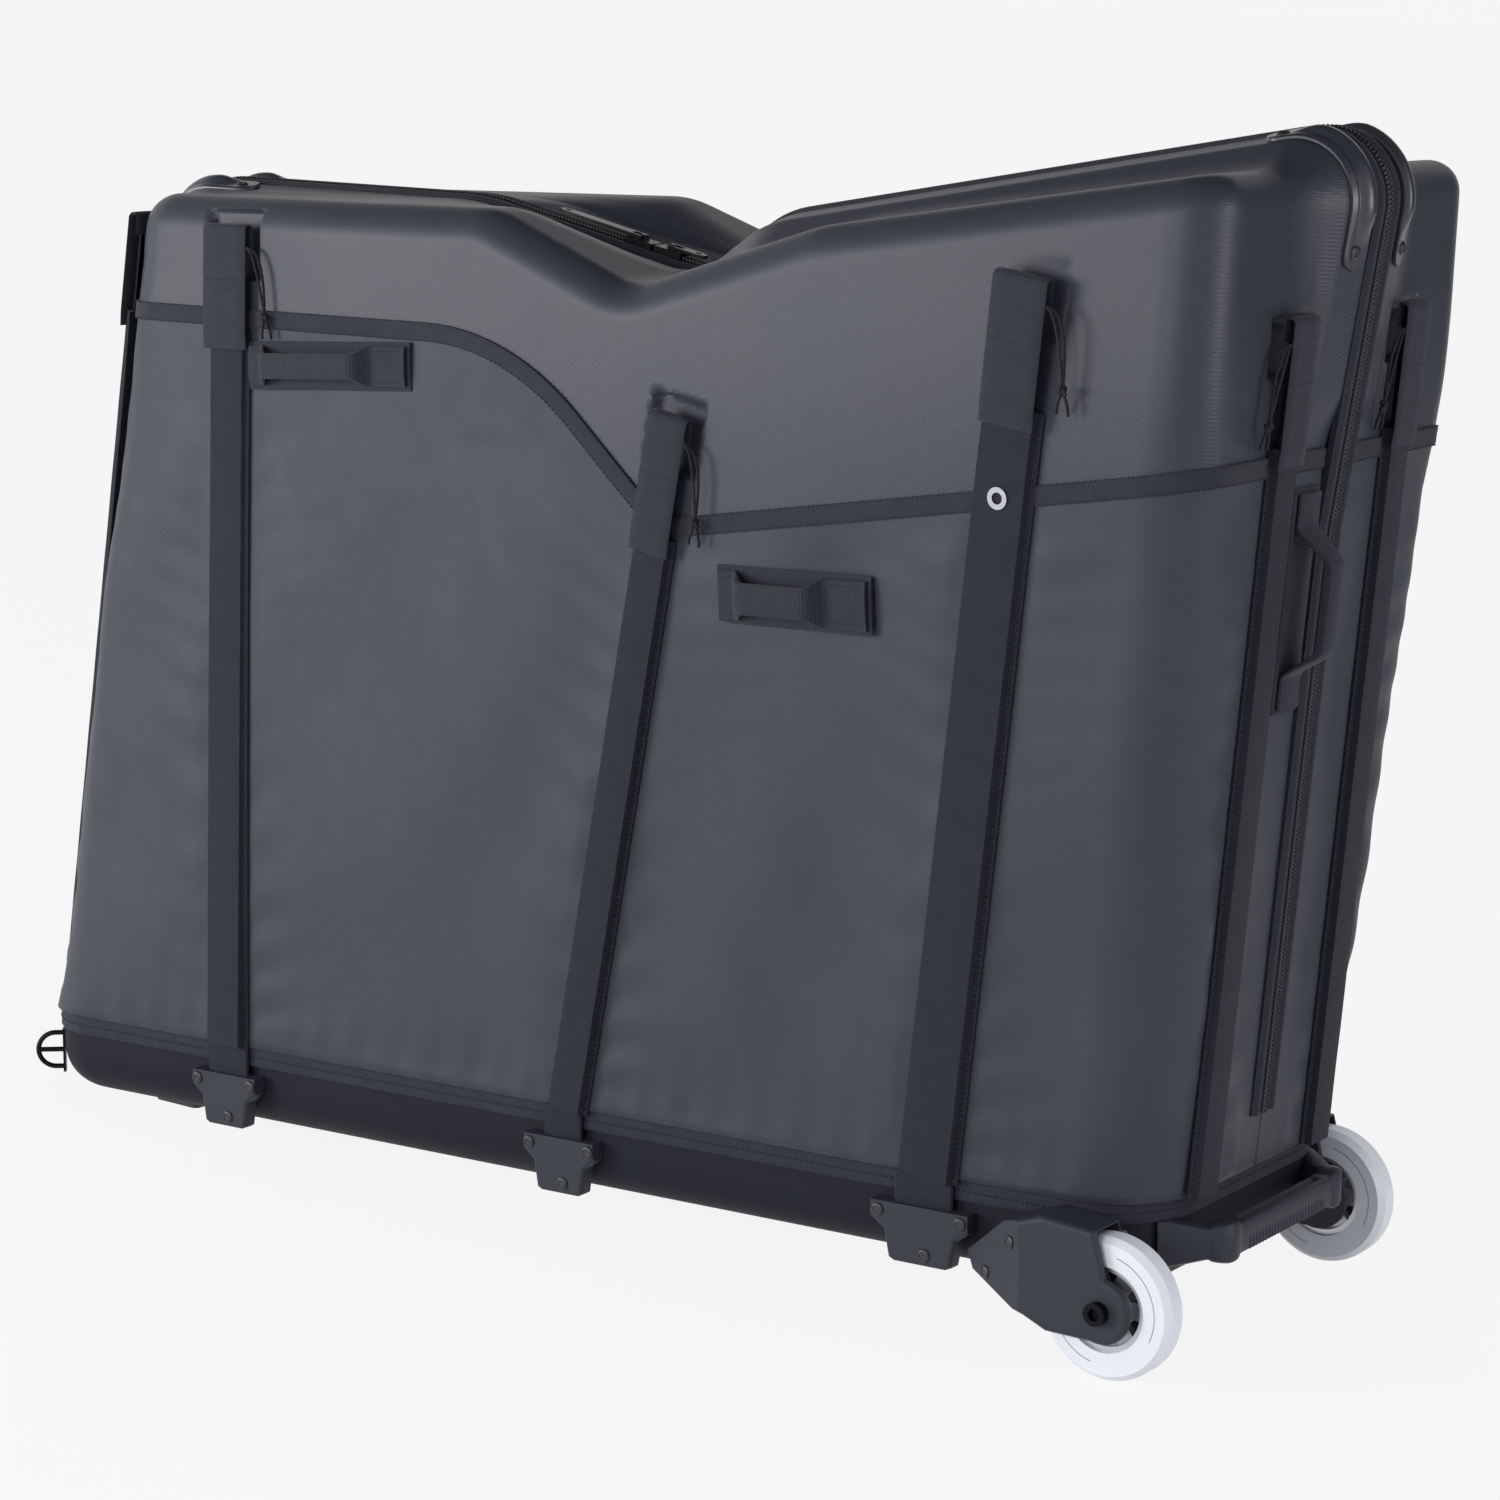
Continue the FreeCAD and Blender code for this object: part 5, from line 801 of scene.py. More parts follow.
TAPE_CUT, TAPE_SEAMS, TAPE_MIDDLE = 0.017, (1, 5), 3
TAPE_DROPS = (0.0, 0.0006, 0.003, 0.0085, 0.014, 0.0164, TAPE_CUT)
TAPE_LIFTS = (0.0002, 0.0017, 0.0021, 0.0019, 0.0021, 0.0017, 0.0002)
ZIP_EDGE = 0.0165


class CASE_OT_trim_tapes(bpy.types.Operator):
    """Trim tape: a band of the wall between two lines parallel to the trim, sewn along both edges."""
    bl_idname = "case.trim_tapes"
    bl_label = "Trim tapes"

    def execute(self, context):
        rows = []
        for drop, lift in zip(np.array(TAPE_DROPS) / TAPE_CUT * sizes().tape_width, TAPE_LIFTS):
            rows.append(half_wall(trim_on_wall(drop, lift, WALL_COUNTS), lift, WALL_COUNTS))
        band = np.concatenate(rows, 1)[:, ::-1]
        band = band[np.abs(band[:, TAPE_MIDDLE, 1]) > ZIP_EDGE]
        out = normals_of(band)[:, TAPE_MIDDLE]
        grids = [(band, False, False)]
        for column in TAPE_SEAMS:
            path = band[:, column]
            grids += stitches(path + out * STITCH_LIFT, np.gradient(path, axis=0), out, sizes().stitch_pitch)
        for side, mirrored in HALVES:
            make(side + "_trim_band", grids, mirrored, TAPE_SHARP, tape_material(), side + "_side",
                 [side + "_trim_tape"])
        return {"FINISHED"}


SPINE_FRONT, SPINE_REAR = -0.80, -0.06
SHELL_COUNTS = (40, 280, 56)
SHELL_ROWS = 112
WALL_BLEND = 0.045
SHELL_EDGE_SHARE = 0.45
SPREADS, HALVINGS, RAY_LENGTH = 3, 26, 0.42
RECESS = SimpleNamespace(side=0.0055, over=0.017, end_over=0.005, under=0.034, depth=0.008,
                         edge=0.0025, reach=0.03)
VIEW_LOW, VIEW_HIGH, VIEW_STEP = (-1.10, 0.44), (0.26, 0.95), 0.003
VIEW_FOOT, LINE_STEP = 0.1, 0.006


def rounded_both(a, b, radius):
    """Distance to what is inside both forms, its edge rounded."""
    a, b = a + radius, b + radius
    return np.minimum(np.maximum(a, b), 0) + np.hypot(np.maximum(a, 0), np.maximum(b, 0)) - radius


def soft_either(a, b, reach):
    """Smaller of two distances, with the inner corner filled over a reach."""
    mix = np.maximum(reach - np.abs(a - b), 0) / np.maximum(reach, 1e-9)
    return np.minimum(a, b) - mix * mix * reach / 4


class SideView:
    """Signed distance to the zip ridge's outline in the side view, read from a table of places."""

    def __init__(self):
        line = even_line(ridge_run(RIDGE_FOOT - VIEW_FOOT), LINE_STEP)
        axes = [np.arange(low, high, VIEW_STEP) for low, high in zip(VIEW_LOW, VIEW_HIGH)]
        x, z = np.meshgrid(*axes, indexing="ij")
        nearest, inside = np.full(x.shape, 9.0), np.zeros(x.shape, int)
        ring = np.concatenate((line, line[:1]))
        for (ax, az), (dx, dz) in zip(ring[:-1], np.diff(ring, axis=0)):
            crosses = ((az > z) != (az + dz > z)) & (x < ax + dx * (z - az) / (dz if dz else 1e-12))
            inside += crosses
        for (ax, az), (dx, dz) in zip(line[:-1], np.diff(line, axis=0)):
            share = np.clip(((x - ax) * dx + (z - az) * dz) / (dx * dx + dz * dz), 0, 1)
            nearest = np.minimum(nearest, np.hypot(x - ax - share * dx, z - az - share * dz))
        self.table = np.where(inside % 2 == 1, -nearest, nearest)

    def __call__(self, x, z):
        place = [(value - low) / VIEW_STEP for value, low in zip((x, z), VIEW_LOW)]
        cell = [np.clip(value.astype(int), 0, size - 2) for value, size in zip(place, self.table.shape)]
        fx, fz = (np.clip(value - whole, 0, 1) for value, whole in zip(place, cell))
        t, i, k = self.table, cell[0], cell[1]
        return (t[i, k] * (1 - fx) * (1 - fz) + t[i + 1, k] * fx * (1 - fz)
                + t[i, k + 1] * (1 - fx) * fz + t[i + 1, k + 1] * fx * fz)


RIDGE_INSET, CARVE_FILL, RIDGE_FILL = 0.013, 0.016, 0.012
FILL_FROM, FILL_OVER, LEAN_STEP = 0.016, 0.05, 0.001


def shell_field(place, ridge):
    """Distance to the moulded half: flared walls under a rounded roof, carved along the zip line where the
    roof is higher, and joined softly to the ridge where it is lower."""
    x, y, z = place[..., 0], place[..., 1], place[..., 2]
    front, rear = level_value("front", z), level_value("rear", z)
    corner = np.where(x < (rear - front) / 2, level_value("front_corner", z), level_value("rear_corner", z))
    ends = np.maximum(-front - x, x - rear)
    lean = (side_half(x + LEAN_STEP, z) - side_half(x, z)) / LEAN_STEP
    side = (-y - side_half(x, z)) / np.sqrt(1 + lean ** 2)
    walls = rounded_both(ends, side, corner)
    slope = np.interp(x, ROOF_LINE[:, 0], ROOF_SLOPE)
    roof = (z - np.interp(x, ROOF_LINE[:, 0], ROOF_LINE[:, 1])) / np.sqrt(1 + slope ** 2)
    block = rounded_both(walls, roof, SHELL_ROUND)
    fall = np.interp(np.abs(y), RIDGE_WIDTHS, RIDGE_FALLS)
    outline = ridge(x, z)
    ease = np.clip((np.abs(y) - FILL_FROM) / FILL_OVER, 0, 1)
    block = -soft_either(-block, -(outline - fall), CARVE_FILL * ease)
    return soft_either(block, np.maximum(outline + fall, side + RIDGE_INSET), RIDGE_FILL * ease)


def shell_surface():
    """Each ray leaves a spine on the parting plane and turns from the trim line up to the crest; the place
    where the field is zero is found by halving, and rows are then spread evenly along each ray fan."""
    ridge = SideView()
    low = trim_on_wall(sizes().tape_width * SHELL_EDGE_SHARE, 0, SHELL_COUNTS)
    edge = half_wall(low, 0, SHELL_COUNTS)[:, 0]
    spine_x = np.clip(edge[:, 0], SPINE_FRONT, SPINE_REAR)
    spine_z = trim_height(spine_x, sizes().tape_width / 2)
    spine = np.stack((spine_x, np.full_like(spine_x, -HALF_GAP), spine_z), -1)
    first = unit(edge - spine)
    share = np.broadcast_to(np.linspace(0, 1, SHELL_ROWS), (len(edge), SHELL_ROWS))
    for _ in range(SPREADS):
        angle = (share * math.pi / 2)[..., None]
        way = unit(first[:, None] * np.cos(angle) + np.array((0, 0, 1)) * np.sin(angle))
        near, far = np.zeros(share.shape), np.full(share.shape, RAY_LENGTH)
        for _ in range(HALVINGS):
            middle = (near + far) / 2
            out = shell_field(spine[:, None] + way * middle[..., None], ridge) > 0
            near, far = np.where(out, near, middle), np.where(out, middle, far)
        skin = spine[:, None] + way * near[..., None]
        step = np.linalg.norm(np.diff(skin, axis=1), axis=-1) + 1e-7
        length = np.concatenate((np.zeros((len(edge), 1)), np.cumsum(step, 1)), 1)
        length /= length[:, -1:]
        even = np.linspace(0, 1, SHELL_ROWS)
        share = np.stack([np.interp(even, row, old) for row, old in zip(length, share)])
    wall = half_wall(skin[..., 2], 0, SHELL_COUNTS)
    share = np.clip((skin[..., 2] - low) / WALL_BLEND, 0, 1)[..., None]
    return wall + (skin - wall) * share * share * (3 - 2 * share)


def sink_recesses(skin, spots):
    """Presses a flat-bottomed recess behind each flap's head."""
    for spot in spots:
        rel = skin - spot.origin
        w, u, n = rel @ spot.w, rel @ spot.u, rel @ spot.n
        side = np.clip((spot.flap / 2 + RECESS.side - np.abs(w)) / RECESS.edge + 0.5, 0, 1)
        over = RECESS.end_over if "end" in spot.name else RECESS.over
        inside = np.minimum(spot.high + over - u, u - spot.high + RECESS.under)
        ends = np.clip(inside / RECESS.edge + 0.5, 0, 1)
        depth = np.maximum(n + STAND_OFF + RECESS.depth, 0) * side * ends * (np.abs(n) < RECESS.reach)
        skin = skin - depth[..., None] * spot.n
    return skin


class CASE_OT_shells(bpy.types.Operator):
    """Moulded shells: the surface where rays from a spine leave the half's form, with pressed recesses."""
    bl_idname = "case.shells"
    bl_label = "Shells"

    def execute(self, context):
        skin = sink_recesses(shell_surface(), stay_frames())
        for side, mirrored in HALVES:
            piece = make(side + "_shell_skin", [(skin, False, False)], mirrored, SKIN_SHARP, shell_material(),
                         side + "_side", [side + "_shell"])
            thicken(piece, sizes().shell_wall)
        return {"FINISHED"}


ZIP_PROFILE = ((0.0172, -0.0032), (0.0168, 0.0010), (0.0152, 0.0014), (0.0142, 0.0026), (0.0124, 0.0036),
               (0.0104, 0.0035), (0.0090, 0.0024), (0.0078, 0.0014), (0.0050, 0.0012), (0.0005, 0.0012),
               (0.0005, 0.0004))
COIL_PROFILE = ((0.0034, 0.0014), (0.0033, 0.0026), (0.0024, 0.0034), (0.0010, 0.0036), (0.0002, 0.0034),
                (0.0002, 0.0014))
COIL_WAVE, COIL_RISE, COIL_STEPS = (0.0, 1.0, 1.0, 1.0, 1.0, 0.0), 0.0007, 4


def along_zip(line, across, height):
    """Places carried along the zip line, square to it, at a distance across and a height over it."""
    spot = line[:, None] + run_and_out(line)[1][:, None] * height[..., None]
    return np.stack((spot[..., 0], np.broadcast_to(-across, spot.shape[:2]), spot[..., 1]), -1)


class CASE_OT_zips(bpy.types.Operator):
    """Zip halves: a tape with a rolled welt along the zip line, and a coil that rises at each turn."""
    bl_idname = "case.zips"
    bl_label = "Zips"

    def execute(self, context):
        line = ridge_run(ZIP_LOW)
        tape = along_zip(even_line(line, LINE_STEP), *np.array(ZIP_PROFILE).T)
        fine = even_line(line, sizes().tooth_pitch / COIL_STEPS)
        turn = np.arange(len(fine)) * 2 * math.pi / COIL_STEPS
        across, height = np.array(COIL_PROFILE).T
        nylon = moulded_material("nylon_coil", colours().coil, 0.38, 0.0006, Specular_IOR_Level=0.45)
        for side, mirrored in HALVES:
            wave = np.array(COIL_WAVE) * (COIL_RISE * np.cos(turn + math.pi * mirrored))[:, None]
            coil = along_zip(fine, across, height + wave)
            make(side + "_zip_tape", [(tape[:, ::-1], True, True)], mirrored, TAPE_SHARP, tape_material(),
                 side + "_side", [side + "_zip"])
            make(side + "_zip_coil", [(coil[:, ::-1], True, True)], mirrored, THREAD_SHARP, nylon,
                 side + "_side")
        return {"FINISHED"}


RIVET_PROFILE = ((0.0048, 0.0), (0.0047, 0.0008), (0.0038, 0.0016), (0.0030, 0.0017), (0.0028, 0.0013),
                 (0.0012, 0.0012), (0.0002, 0.0012))
RIVET_SIDES, RIVET_SUNK = 18, 0.0003


def rivet(place, outward):
    """A domed rivet head: its profile turned about the outward direction."""
    outward = unit(np.asarray(outward, float))
    side = unit(np.cross(outward, (0.1, 0.2, 1.0)))
    other = np.cross(outward, side)
    radius, height = np.array(RIVET_PROFILE).T
    turn = np.linspace(0, 2 * math.pi, RIVET_SIDES, endpoint=False)[:, None]
    ring = np.cos(turn) * side + np.sin(turn) * other
    return (np.asarray(place) + radius[:, None, None] * ring + height[:, None, None] * outward, True, True)


GUARD_PROFILE = ((0.0446, 0.0004), (0.0446, 0.0020), (0.0430, 0.0028), (0.0412, 0.0036), (0.0396, 0.0036),
                 (0.0384, 0.0028), (0.0372, 0.0034), (0.0355, 0.0056), (0.0330, 0.0074), (0.0300, 0.0080),
                 (0.0270, 0.0075), (0.0246, 0.0060), (0.0230, 0.0034), (0.0226, 0.0018), (0.0226, 0.0004))
GUARD_RUN, GUARD_TAB, GUARD_FLAT_SHARE = 0.096, 0.026, 0.6
GUARD_LEG_SHARES = ((0.86, 1.04), (0.92, 0.7))
GUARD_PLATE, GUARD_THIN = 0.0030, 0.0004
GUARD_RIVET_ROWS, GUARD_MIDDLE, GUARD_STEP = (5, -6), 7, 0.0025


def guard_path(line, corner, legs, way):
    """The part of the zip line round one upper corner: as far down and along as the guard's legs reach."""
    x, z = along_case(corner[0]), up_case(corner[1])
    near = ((line[:, 0] - x) * way < legs[0] * GUARD_RUN) & (line[:, 1] > z - legs[1] * GUARD_RUN)
    return line[near]


def guard_grid(line):
    """A ribbed bumper carried round the corner: its ribs sink to a flat, round-ended tab at both ends."""
    length = length_along(line)
    left = np.minimum(length, length[-1] - length)
    rise = np.clip((left - GUARD_FLAT_SHARE * GUARD_TAB) / GUARD_TAB, 0, 1)
    rise = (rise * rise * (3 - 2 * rise))[:, None]
    across, height = np.array(GUARD_PROFILE).T
    middle = (across[0] + across[-1]) / 2
    half = (across[0] - across[-1]) / 2
    short = np.clip(1 - left / half, 0, 1)
    wide = np.sqrt(np.maximum(1 - short ** 2, GUARD_THIN))[:, None]
    y = middle + (across - middle) * wide
    height = np.minimum(height, GUARD_PLATE) + np.maximum(height - GUARD_PLATE, 0) * rise
    return along_zip(line, y, height - np.interp(y, RIDGE_WIDTHS, RIDGE_FALLS))


class CASE_OT_corner_guards(bpy.types.Operator):
    """Corner guards: a ribbed profile carried round each upper corner of the ridge, a rivet in each tab."""
    bl_idname = "case.corner_guards"
    bl_label = "Corner guards"

    def execute(self, context):
        line = even_line(ridge_run(ZIP_LOW), GUARD_STEP)
        ends = zip((RIDGE_SHARES[0], RIDGE_SHARES[-1]), GUARD_LEG_SHARES, (-1, 1))
        grids, heads = [], []
        for corner, legs, way in ends:
            grid = guard_grid(guard_path(line, corner, legs, way))[:, ::-1]
            grids.append((grid, True, True))
            for row in GUARD_RIVET_ROWS:
                out = normals_of(grid)[row, GUARD_MIDDLE]
                heads.append(rivet(grid[row, GUARD_MIDDLE] - out * RIVET_SUNK, out))
        rubber = moulded_material("gloss_rubber", colours().rubber, 0.30, 0.0014, Specular_IOR_Level=0.45)
        for side, mirrored in HALVES:
            make(side + "_guard_rubber", grids, mirrored, TAPE_SHARP, rubber, side + "_side",
                 [side + "_corner_guards"])
            make(side + "_guard_rivets", heads, mirrored, STRAP_SHARP, rivet_and_shade_material(), side + "_side")
        return {"FINISHED"}


SLEEVE_ROWS, SLEEVE_LAP, SLEEVE_SEAT, SLEEVE_RIPPLE, SLEEVE_WAVE = 70, 0.012, 0.0006, 0.0001, 0.011
SLEEVE_SPREAD = (-1, -1, -0.86, -0.79, -0.4, 0.4, 0.79, 0.86, 1, 1, 0.5, -0.5)
SLEEVE_EDGE = (0, 0.0016, 0.0026, 0.0, 0.0, 0.0, 0.0, 0.0026, 0.0016, 0, 0, 0)
SLEEVE_RISE = (0, 0, 0, 0.0046, SLEEVE_TOP, SLEEVE_TOP, 0.0046, 0, 0, 0, 0, 0)
SLEEVE_SEAM = SimpleNamespace(share=0.455, low=0.004, sunk=-0.0004, points=40)


def sleeve_grid(spot):
    """A flat tunnel of webbing over the stay: thin sewn edges that step up to a flat middle."""
    u = np.linspace(SEAT, spot.low + SLEEVE_LAP, SLEEVE_ROWS)[:, None]
    top, raised = np.array(SLEEVE_EDGE), np.array(SLEEVE_RISE)
    w = np.array(SLEEVE_SPREAD)[None] * spot.sleeve / 2
    wall = wall_depth(spot, w, u) + SLEEVE_SEAT
    n = np.where(raised > 0, raised + SLEEVE_RIPPLE * np.sin(u / SLEEVE_WAVE), wall + top)
    return on_frame(spot, w, u, n)


class CASE_OT_sleeves(bpy.types.Operator):
    """Stay sleeves: a stepped profile carried up each stay's line, sewn along both edges."""
    bl_idname = "case.sleeves"
    bl_label = "Stay sleeves"

    def execute(self, context):
        spots = stay_frames()
        grids = [(sleeve_grid(spot), True, True) for spot in spots]
        bars = []
        for spot in spots:
            for way in (-1, 1):
                u = np.linspace(SLEEVE_SEAM.low, spot.low, SLEEVE_SEAM.points)
                places = on_frame(spot, way * spot.sleeve * SLEEVE_SEAM.share, u, SLEEVE_SEAM.sunk)
                bars += level_stitches(spot, places, spot.u, sizes().stitch_pitch)
        for side, mirrored in HALVES:
            make(side + "_sleeve_webbing", grids, mirrored, STRAP_SHARP, sleeve_material(), side + "_side",
                 [side + "_stay_sleeves"])
            make(side + "_sleeve_stitches", bars, mirrored, THREAD_SHARP, thread_material(), side + "_side")
        return {"FINISHED"}


FLAP_OVER, FLAP_THICK, LINING_SUNK, LINING_THICK = 0.006, 0.0019, 0.0014, 0.0008
FLAP_SEAMS = ((0.08, 0.0012), (0.60, 0.0004))
FLAP_SEAM_HALF, FLAP_SEAM_POINTS, FLAP_PITCH_SHARE = 0.42, 12, 0.8
FLAP_RADII, FLAP_COUNTS, FLAP_ARC_STEPS = (0, 0.02, 0.0042, 0.0018, 0), (4, 16, 2, 2), 8
FLAP_FOOT, FLAP_SLOPE, FLAP_TUCK = 0.0012, 0.0004, (0.010, -0.0006)


def flap_grid(spot, sunk, thick):
    """A webbing strip up the sleeve that bends over the stay's head: an arc of equal steps at the top."""
    over, face = spot.high + FLAP_OVER, FLAP_TOP - thick / 2
    corners = ((spot.low, SLEEVE_TOP + FLAP_FOOT), (spot.low + SLEEVE_LAP, face - FLAP_SLOPE),
               (over, face), (over, 0.0), (spot.high - FLAP_TUCK[0], FLAP_TUCK[1]))
    line = rounded_line(corners, FLAP_RADII, FLAP_COUNTS, FLAP_ARC_STEPS) + (0, -sunk)
    run = unit(np.gradient(line, axis=0))
    centres = on_frame(spot, 0.0, line[:, 0], line[:, 1])
    outward = -run[:, 1:2] * spot.u + run[:, :1] * spot.n
    return ribbon(centres, spot.w, outward, spot.flap - 4 * sunk, thick)


class CASE_OT_flaps(bpy.types.Operator):
    """Top flaps: a strip carried up the sleeve and bent over the stay's head, with two sewn lines."""
    bl_idname = "case.flaps"
    bl_label = "Flaps"

    def execute(self, context):
        spots = stay_frames()
        red = cloth_material("red_lining", colours().red, 0.6)
        grids = [(flap_grid(spot, 0, FLAP_THICK), True, True) for spot in spots]
        lining = [(flap_grid(spots[1], LINING_SUNK, LINING_THICK), True, True)]
        bars = []
        for spot in spots:
            for share, sunk in FLAP_SEAMS:
                w = np.linspace(-FLAP_SEAM_HALF, FLAP_SEAM_HALF, FLAP_SEAM_POINTS) * spot.flap
                places = on_frame(spot, w, spot.low + (spot.high - spot.low) * share, FLAP_TOP - sunk)
                bars += level_stitches(spot, places, spot.w, sizes().stitch_pitch * FLAP_PITCH_SHARE)
        for side, mirrored in HALVES:
            make(side + "_flap_webbing", grids, mirrored, STRAP_SHARP, strap_material(), side + "_side",
                 [side + "_stay_flaps"])
            make(side + "_flap_lining", lining, mirrored, STRAP_SHARP, red, side + "_side")
            make(side + "_flap_stitches", bars, mirrored, THREAD_SHARP, thread_material(), side + "_side")
        return {"FINISHED"}


CORD_SHARES = ((0.0, 0.18), (0.40, 0.18), (0.90, 0.36), (1.15, 0.70), (1.18, 1.0))
CORD_SPREAD, CORD_DROP, CORD_OUT, CONTACT = 0.016, 0.062, 0.006, 0.00015
KNOT_SIZE, TAIL_LENGTH, TAIL_SWING, TAIL_BACK = 0.0046, 0.016, 0.0045, 0.002
STRAND_RISE, STRAND_ASIDE = 0.0022, 0.0034
CORD_RADII = SimpleNamespace(cord=0.36, strand=0.34, knot=0.40)
KNOT_TURN, KNOT_SHARES = 0.36, (0.55, 0.6, 0.9)
KNOT_POINTS, TAIL_POINTS, TUBE_SIDES, STEADY_WAY = 40, 12, 8, (0.31, 0.87, 0.21)


def tube(line, radius):
    """A round tube: circles square to a line, kept upright by one steady direction."""
    run = unit(np.gradient(line, axis=0))
    side = unit(np.cross(run, np.array(STEADY_WAY)))
    other = np.cross(run, side)
    turn = np.linspace(0, 2 * math.pi, TUBE_SIDES, endpoint=False)[:, None]
    radius = np.broadcast_to(radius, len(line))[:, None, None]
    return line[:, None] + radius * (np.cos(turn) * side[:, None] + np.sin(turn) * other[:, None])


def knot_line(end, down, aside, out):
    """A tied loop about the cord's end: a trefoil with its long side down the cord."""
    turn = np.linspace(0, 2 * math.pi, KNOT_POINTS)[:, None]
    wide, tall, deep = KNOT_SHARES
    return end + KNOT_SIZE * KNOT_TURN * ((np.sin(turn) + 2 * np.sin(2 * turn)) * aside * wide
                                          + (np.cos(turn) - 2 * np.cos(2 * turn)) * down * tall
                                          - np.sin(3 * turn) * out * deep)


def tail_line(end, down, aside, out):
    """A loose end below the knot that swings aside."""
    share = np.linspace(0, 1, TAIL_POINTS)[:, None]
    swing = aside * TAIL_SWING * np.sin(1.6 * share)
    return end + down * TAIL_LENGTH * share + swing - out * TAIL_BACK * share


def cord_curve(name, points):
    """A curve of one open spline whose control points are the cord's route."""
    curve = bpy.data.curves.new(name, "CURVE")
    curve.dimensions = "3D"
    spline = curve.splines.new("NURBS")
    spline.points.add(len(points) - 1)
    spline.points.foreach_set("co", np.concatenate((points, np.ones((len(points), 1))), 1).ravel())
    spline.order_u = 3
    spline.use_endpoint_u = True
    curve.resolution_u = 12
    return curve


def curve_points(curve):
    """Places along a curve with no bevel, as its own mesh gives them."""
    holder = bpy.data.objects.new("route", curve)
    mesh = bpy.data.meshes.new_from_object(holder)
    places = np.empty(len(mesh.vertices) * 3)
    mesh.vertices.foreach_get("co", places)
    bpy.data.objects.remove(holder)
    bpy.data.meshes.remove(mesh)
    return places.reshape(-1, 3)


def level_of(points):
    """Row places turned back onto the level case."""
    rel = np.asarray(points) - AXLE
    return np.stack((rel @ ALONG, rel[..., 1], rel @ ABOVE + AXLE[2]), -1)


class CASE_OT_pull_cords(bpy.types.Operator):
    """Pull cords: one spline through each route, a second strand beside it, a tied knot and two tails."""
    bl_idname = "case.pull_cords"
    bl_label = "Pull cords"

    def execute(self, context):
        thin = sizes().cord_diameter
        material = webbing_material("braided_cord", colours().thread, 0.0016, 0.55)
        w, u = np.array(CORD_SHARES).T
        for side, mirrored in HALVES:
            turned = (1, -1, 1) if mirrored else (1, 1, 1)
            for spot in stay_frames():
                way = -1 if spot.name.endswith("end") and not mirrored else 1
                across = way * (spot.flap / 2 + CONTACT + w * CORD_SPREAD)
                route = on_frame(spot, across, spot.high - u * CORD_DROP, CORD_OUT) * turned
                name = "%s_%s_pull_cord" % (side, spot.name)
                curve = cord_curve(name, stand(route))
                line = curve_points(curve)
                level = level_of(line) * turned
                bow = np.sin(math.pi * np.linspace(0, 1, len(level)))[:, None]
                strand = level + spot.n * STRAND_RISE * bow - way * spot.w * STRAND_ASIDE * bow ** 0.8
                end, down = level[-1], unit(level[-1] - level[-4])
                aside = unit(np.cross(down, spot.n))
                lines = [(strand, CORD_RADII.strand), (knot_line(end, down, aside, spot.n), CORD_RADII.knot)]
                lines += [(tail_line(end, down, aside * turn, spot.n), CORD_RADII.cord) for turn in (-1, 1)]
                grids = [(tube(path, thin * radius), True, True) for path, radius in lines]
                tied = make(name + "_knot", grids, mirrored, THREAD_SHARP, material, side + "_side")
                curve.bevel_depth = thin * CORD_RADII.cord
                curve.bevel_resolution = 3
                curve.use_fill_caps = True
                piece = dress(name, curve, material, side + "_side",
                              [side + "_pull_cords"] if spot.name == "front" else ())
        return {"FINISHED"}


GRIP_SHARES = (((0.2320, 0.7310), (0.3883, 0.7410)), ((0.6728, 0.5457), (0.7942, 0.5485)))
GRIP_WIDTHS = (0.030, 0.035)
GRIP_RISE, END_GRIP_RISE = 0.015, 0.027
GRIP_FEET, END_GRIP_FEET, GRIP_STAND_OFF = (0.014, 0.034), (0.024, 0.024), 0.0006
END_GRIP = SimpleNamespace(aside=0.040, low=0.444, high=0.590, width=0.030)
FOOT_RISE, BOX_RISE, RUN_RISE, SLOPE_SHARE = 0.0042, 0.0057, 0.0006, 0.7
STRAP_FACE, FOLD_THICK, FOLD_NARROW, STRAP_BOW = 0.0026, 0.0030, 0.36, 0.0012
PATCH = SimpleNamespace(over=0.003, rise=0.0016, thick=0.0020, points=24)
BOX_POINTS, BOX_LONG, BOX_WIDE, BOX_PITCH_SHARE = 8, 0.72, 0.74, 0.75
SLOPE_REACH = 0.017
GRIP_RADII, GRIP_COUNTS, GRIP_ARC_STEPS = (0, 0.008, 0.009, 0.009, 0.008, 0), (8, 6, 16, 6, 8), 8


def grip_frame(start, end, outward):
    along = unit(end - start)
    across = unit(np.cross(outward, along))
    n = np.cross(along, across)
    return SimpleNamespace(origin=(start + end) / 2 + n * GRIP_STAND_OFF, w=along, u=across, n=n,
                           length=float(np.linalg.norm(end - start)))


